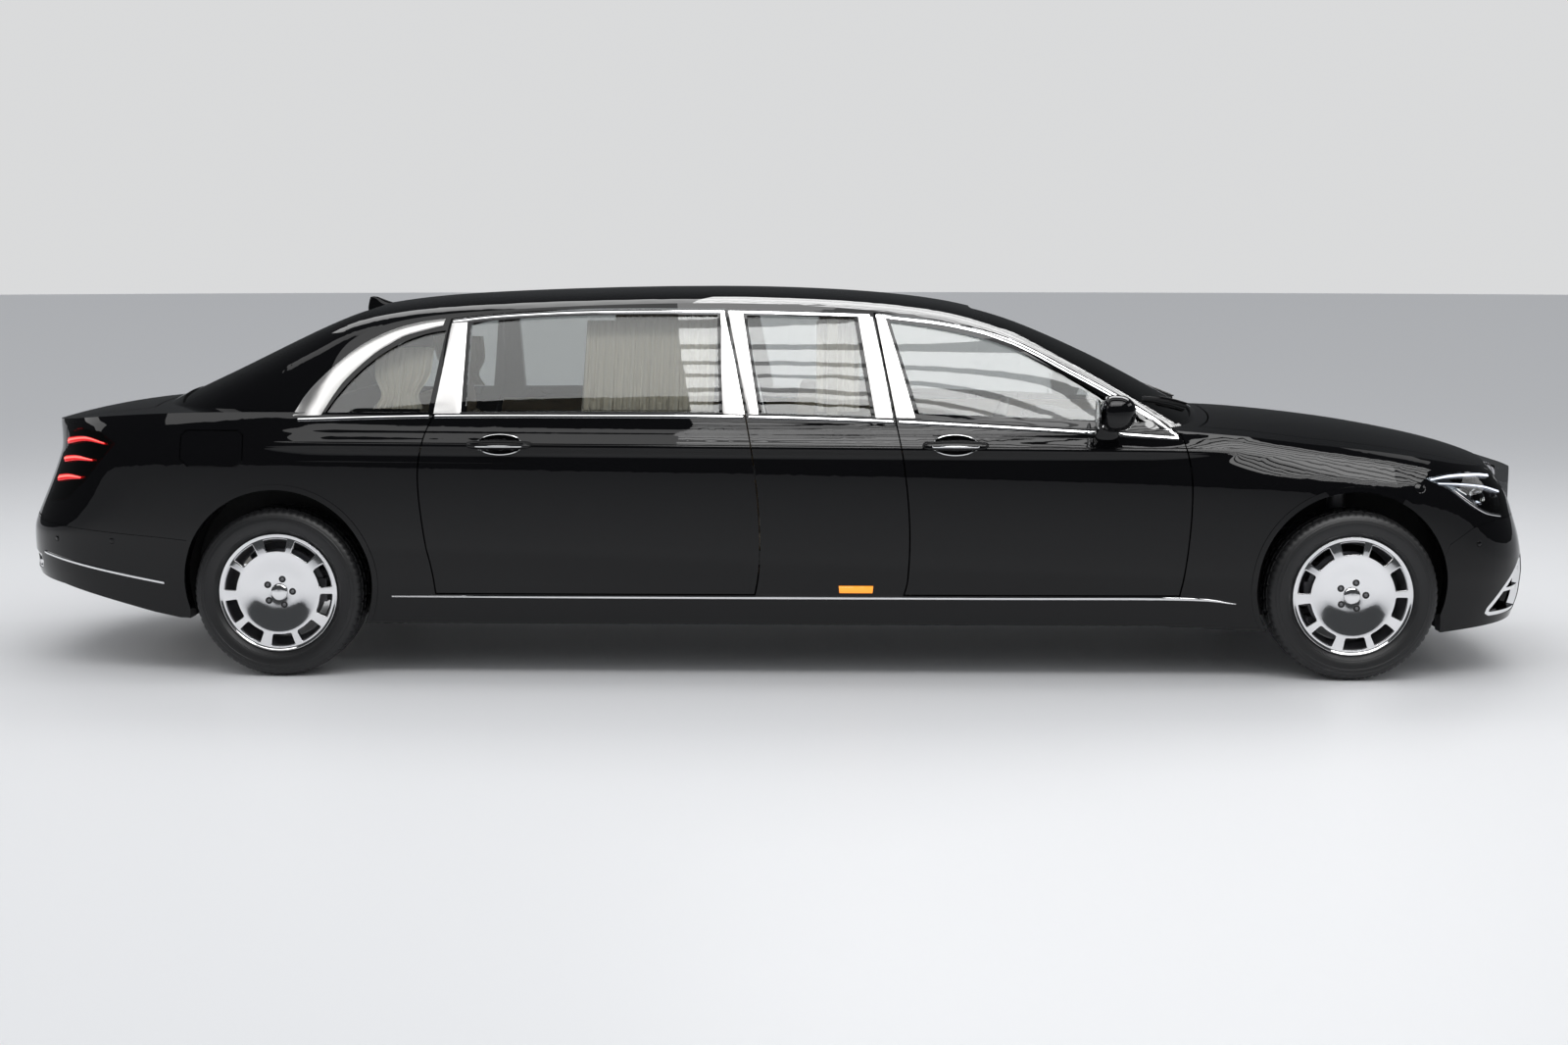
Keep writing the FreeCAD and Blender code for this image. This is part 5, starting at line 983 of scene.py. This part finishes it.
def card(name, skin, low, high, body):
    """A padded lining over the flat part of an inner side, row by row."""
    found = [(z, flat_reach(skin, low, high, z)) for z in spread(*CARD_Z, CARD_ROWS)]
    found = [(z, reach) for z, reach in found if reach]
    rows = []
    for k, (z, reach) in enumerate(found):
        near = found[max(0, k - 2):k + 3]
        start = max(reach[0], sum(other[0] for _, other in near) / len(near))
        end = min(reach[1], sum(other[1] for _, other in near) / len(near))
        places = [start, start + HEM_WIDTH,
                  *spread(start + CARD_EDGE, end - CARD_EDGE, CARD_STEPS), end - HEM_WIDTH, end]
        lifts = [0.0, HEM_LIFT] + [CARD_LIFT] * CARD_STEPS + [HEM_LIFT, 0.0]
        if k in (0, len(found) - 1):
            lifts = [0.0] * len(places)
        rows.append([skin.place(x, z, skin.cast(x, z) + lift) for x, lift in zip(places, lifts)])
    Form().grid(rows).piece(name, LEATHER, body, "leather")


FLOOR_SKIN = Skin(("platform",), 2, 1, start=0.6)
ROOF_SKIN = Skin(("roof",), 2, -1, start=-0.9)
CARPET_LIFT = 0.003
HEADLINER_LIFT = 0.004
for name, start, end, count in (("rear", -1.505, 0.245, 60), ("front", 0.305, 1.78, 50)):
    lining("carpet_" + name, FLOOR_SKIN, spread(start, end, count), spread(-0.8, 0.8, 81),
           CARPET_LIFT, CARPET)
lining("headliner", ROOF_SKIN, spread(-1.62, 0.86, 50), spread(-0.56, 0.56, 41), HEADLINER_LIFT,
       LINER)

# Doors' inner sides: where the card may start and end, and the armrest's middle.
INNER_START = -0.45
DOOR_INNERS = {"front": (0.5, 1.69, 1.05), "rear": (-1.36, -0.06, -0.6)}
inners = {}
for side, sign in SIDES.items():
    for row, (low, high, _) in DOOR_INNERS.items():
        name = "door_%s_%s" % (row, side)
        inners[name] = Skin((name,), 1, -sign, start=INNER_START)
        card("door_card_%s_%s" % (row, side), inners[name], low, high, name)
    card("side_card_" + side, Skin(("side_frames",), 1, -sign, start=INNER_START), -0.075, 0.5,
         "car")

# The dashboard: padded below, with veneer, a screen, a top cover and a hood over the dials.
DASH_PAD = ((1.176, 0.64), (1.158, 0.7), (1.15, 0.76), (1.16, 0.815), (1.176, 0.845))
DASH_VENEER = ((1.176, 0.852), (1.168, 0.858), (1.168, 0.884), (1.176, 0.89))
DASH_SCREEN = ((1.176, 0.894), (1.171, 0.898), (1.171, 0.972), (1.176, 0.976))
DASH_HOOD = ((1.205, 0.0), (1.19, 0.02), (1.196, 0.036), (1.24, 0.047), (1.33, 0.043), (1.42, 0.0))
HOOD_Z = 0.994
DRIVER_Y = 0.385
HOOD_HALF = 0.19
CONSOLE_Z = 0.6405
CONSOLE_LINE = ((-0.106, 0.0), (-0.1, 0.005), (0.0, 0.007), (0.1, 0.005), (0.106, 0.0))
for side, sign in SIDES.items():
    rows = [[Vector((x - 0.006 * cos(3 * y), y, z))
             for y in spread(sign * 0.12, sign * 0.68, 24)] for x, z in DASH_PAD]
    Form().grid(rows).piece("dash_pad_" + side, LEATHER, levels=1)
for name, line, low, high, count, mat in (("dash_veneer", DASH_VENEER, -0.685, 0.685, 60, WOOD),
                                          ("dash_screen", DASH_SCREEN, -0.1, 0.62, 30, SCREEN)):
    rows = [[Vector((x, y, z)) for y in spread(low, high, count)] for x, z in line]
    Form().grid(rows).piece(name, mat)
rows = [[Vector((x, y, CONSOLE_Z + rise)) for y, rise in CONSOLE_LINE]
        for x in spread(0.428, 1.15, 30)]
Form().grid(rows).piece("console_veneer", WOOD)
block("dash_top", (1.395, 0.0, 0.99), (0.222, 0.696, 0.016), 0.0, TRIM, slot="interior", puff=0.5)
rows = [[Vector((x, DRIVER_Y + HOOD_HALF * v, HOOD_Z + rise * max(0.0, 1 - v ** 4) ** 0.5))
         for v in spread(-1.0, 1.0, 40)] for x, rise in DASH_HOOD]
Form().grid(rows).piece("dash_hood", TRIM, levels=1)
for side, sign in SIDES.items():
    block("dash_cheek_" + side, (1.4, sign * 0.702, 0.77), (0.195, 0.008, 0.19), 0.0, LEATHER,
          slot="interior", puff=0.06)
lining("carpet_boot", FLOOR_SKIN, spread(-2.9, -1.99, 30), spread(-0.58, 0.58, 41), CARPET_LIFT,
       CARPET)
block("inner_mirror", (1.01, 0.0, 1.385), (0.014, 0.115, 0.032), 0.15, DARK, slot="interior",
      puff=0.05)
block("engine_cover", (2.33, 0.0, 0.882), (0.38, 0.27, 0.022), 0.0, DARK, slot="cast",
      channels=9, seam=0.006)

# The armrests and pulls on the doors' inner sides.
ARMREST_Z = 0.66
ARMREST_IN = 0.018
PULL_Z = 0.8
PULL_LINE = ((-0.06, 0.0), (-0.05, 0.018), (0.0, 0.022), (0.05, 0.018), (0.06, 0.0))
for side, sign in SIDES.items():
    for row, (_, _, x) in DOOR_INNERS.items():
        tag = "_%s_%s" % (row, side)
        name, inner = "door" + tag, inners["door" + tag]
        y = -sign * (inner.depth(x, ARMREST_Z) + ARMREST_IN)
        block("door_armrest" + tag, (x, y, ARMREST_Z), (0.27, 0.03, 0.034), 0.0, LEATHER, name,
              puff=0.06)
        pull = [Vector((x + share, -sign * (inner.depth(x + share, PULL_Z) + rise), PULL_Z))
                for share, rise in PULL_LINE]
        Form().sweep(pull, [(0.005, 0.008)] * 5, 12).piece("door_pull" + tag, CHROME, name,
                                                           "grille", levels=1)
band("boot_line", REAR, ((-0.34, 0.852), (0.0, 0.858), (0.34, 0.852)),
     ((-0.345, 0.84), (0.0, 0.846), (0.345, 0.84)), 0.005, CHROME, "boot_lid", count=50)

# The steering wheel's leather rim and pad over its frame.
STEER_TILT = radians(24.0)
STEER_RADIUS = 0.18
STEER_GRIP = 0.0162
PAD_LINE = ((0.002, 0.04), (0.03, 0.039), (0.052, 0.034), (0.0615, 0.024), (0.0615, 0.0))
hub = Vector((1.01, DRIVER_Y, 0.9))
toward = Vector((-cos(STEER_TILT), 0, sin(STEER_TILT)))
upward = Vector((sin(STEER_TILT), 0, cos(STEER_TILT)))


def spoke(a):
    """The way from the hub to the rim at an angle."""
    return Vector((0, 1, 0)) * cos(a) + upward * sin(a)


rows = [[hub + spoke(a) * (STEER_RADIUS + STEER_GRIP * cos(b))
         + toward * STEER_GRIP * sin(b) for b in turns(16)] for a in turns(72)]
Form().grid(rows, around=True, looped=True).piece("steering_rim", TRIM, "steering_wheel")
rows = [[hub + spoke(a) * radius + toward * rise for a in turns(40)] for radius, rise in PAD_LINE]
Form().grid(rows, around=True).piece("steering_pad", TRIM, "steering_wheel")


# The stage, the light and the camera.
FLOOR_RADIUS = 90.0
FLOOR = material("pale floor", (0.8, 0.8, 0.805), 0.42, 3.0, 0.01, Specular_IOR_Level=0.25)
floor_mesh = bpy.data.meshes.new("floor")
floor_mesh.from_pydata([(FLOOR_RADIUS * cos(a), FLOOR_RADIUS * sin(a), 0)
                        for a in turns(96)], [], [tuple(range(96))])
floor_mesh.materials.append(FLOOR)
floor = bpy.data.objects.new("floor", floor_mesh)
bpy.context.scene.collection.objects.link(floor)

world = bpy.data.worlds.new("studio")
world.use_nodes = True
tree = world.node_tree
tree.nodes.remove(tree.nodes["Background"])
seen, soft, mirrored = (
    add_node(tree, "Background", {"Color": (*color, 1.0), "Strength": strength}).outputs[0]
    for color, strength in (((0.7, 0.705, 0.71), 1.0), ((0.8, 0.82, 0.85), 0.9),
                            ((0.1, 0.105, 0.11), 0.5)))
rays = add_node(tree, "LightPath")
unseen = add_node(tree, "MixShader", {"Fac": rays.outputs["Is Glossy Ray"], 1: soft, 2: mirrored})
shown = add_node(tree, "MixShader", {"Fac": rays.outputs["Is Camera Ray"],
                                     1: unseen.outputs["Shader"], 2: seen})
tree.links.new(shown.outputs["Shader"], tree.nodes["World Output"].inputs["Surface"])
bpy.context.scene.world = world


def area_light(name, place, target, size, power):
    """A soft rectangular light aimed at a point."""
    lamp = bpy.data.lights.new(name, "AREA")
    lamp.shape = "RECTANGLE"
    (lamp.size, lamp.size_y), lamp.energy = size, power
    piece = bpy.data.objects.new(name, lamp)
    piece.location = place
    piece.rotation_euler = (Vector(target) - Vector(place)).to_track_quat("-Z", "Y").to_euler()
    bpy.context.scene.collection.objects.link(piece)
    return piece


SLATS = 12
SLAT_X = 2.9
SLAT_Z = 5.6
SLAT_START = 2.2
SLAT_PITCH = 0.42
SLAT_SIZE = (7.2, 0.3)
SLAT_POWER = 36
for side, sign in SIDES.items():
    for k in range(SLATS):
        y = sign * (SLAT_START + SLAT_PITCH * k)
        slat = area_light("slat_%s_%d" % (side, k), (SLAT_X, y, SLAT_Z), (SLAT_X, y, 0),
                          SLAT_SIZE, SLAT_POWER)
        slat.visible_diffuse = False
    area_light("bank_" + side, (0, sign * 4.5, 6.4), (0, 0, 0.5), (12.0, 2.0), 170)
area_light("overhead", (0, 0, SLAT_Z), (0, 0, 0), (12.0, 1.2), 60)
for way, name in ((1, "front"), (-1, "rear")):
    area_light("end_" + name, (way * 8.5, 0, 4.2), (0, 0, 0.8), (5.0, 1.4), 50)

bpy.context.scene.view_settings.view_transform = "Standard"
CAMERA_PLACE = (0.279, -9.642, 1.739)
CAMERA_YAW = radians(1.319)
CAMERA_PITCH = radians(7.119)
camera_data = bpy.data.cameras.new("camera")
camera_data.sensor_width = 36.0
camera_data.lens = 49.34
camera = bpy.data.objects.new("camera", camera_data)
camera.location = CAMERA_PLACE
camera.rotation_euler = (pi / 2 - CAMERA_PITCH, 0, CAMERA_YAW)
bpy.context.scene.collection.objects.link(camera)
bpy.context.scene.camera = camera
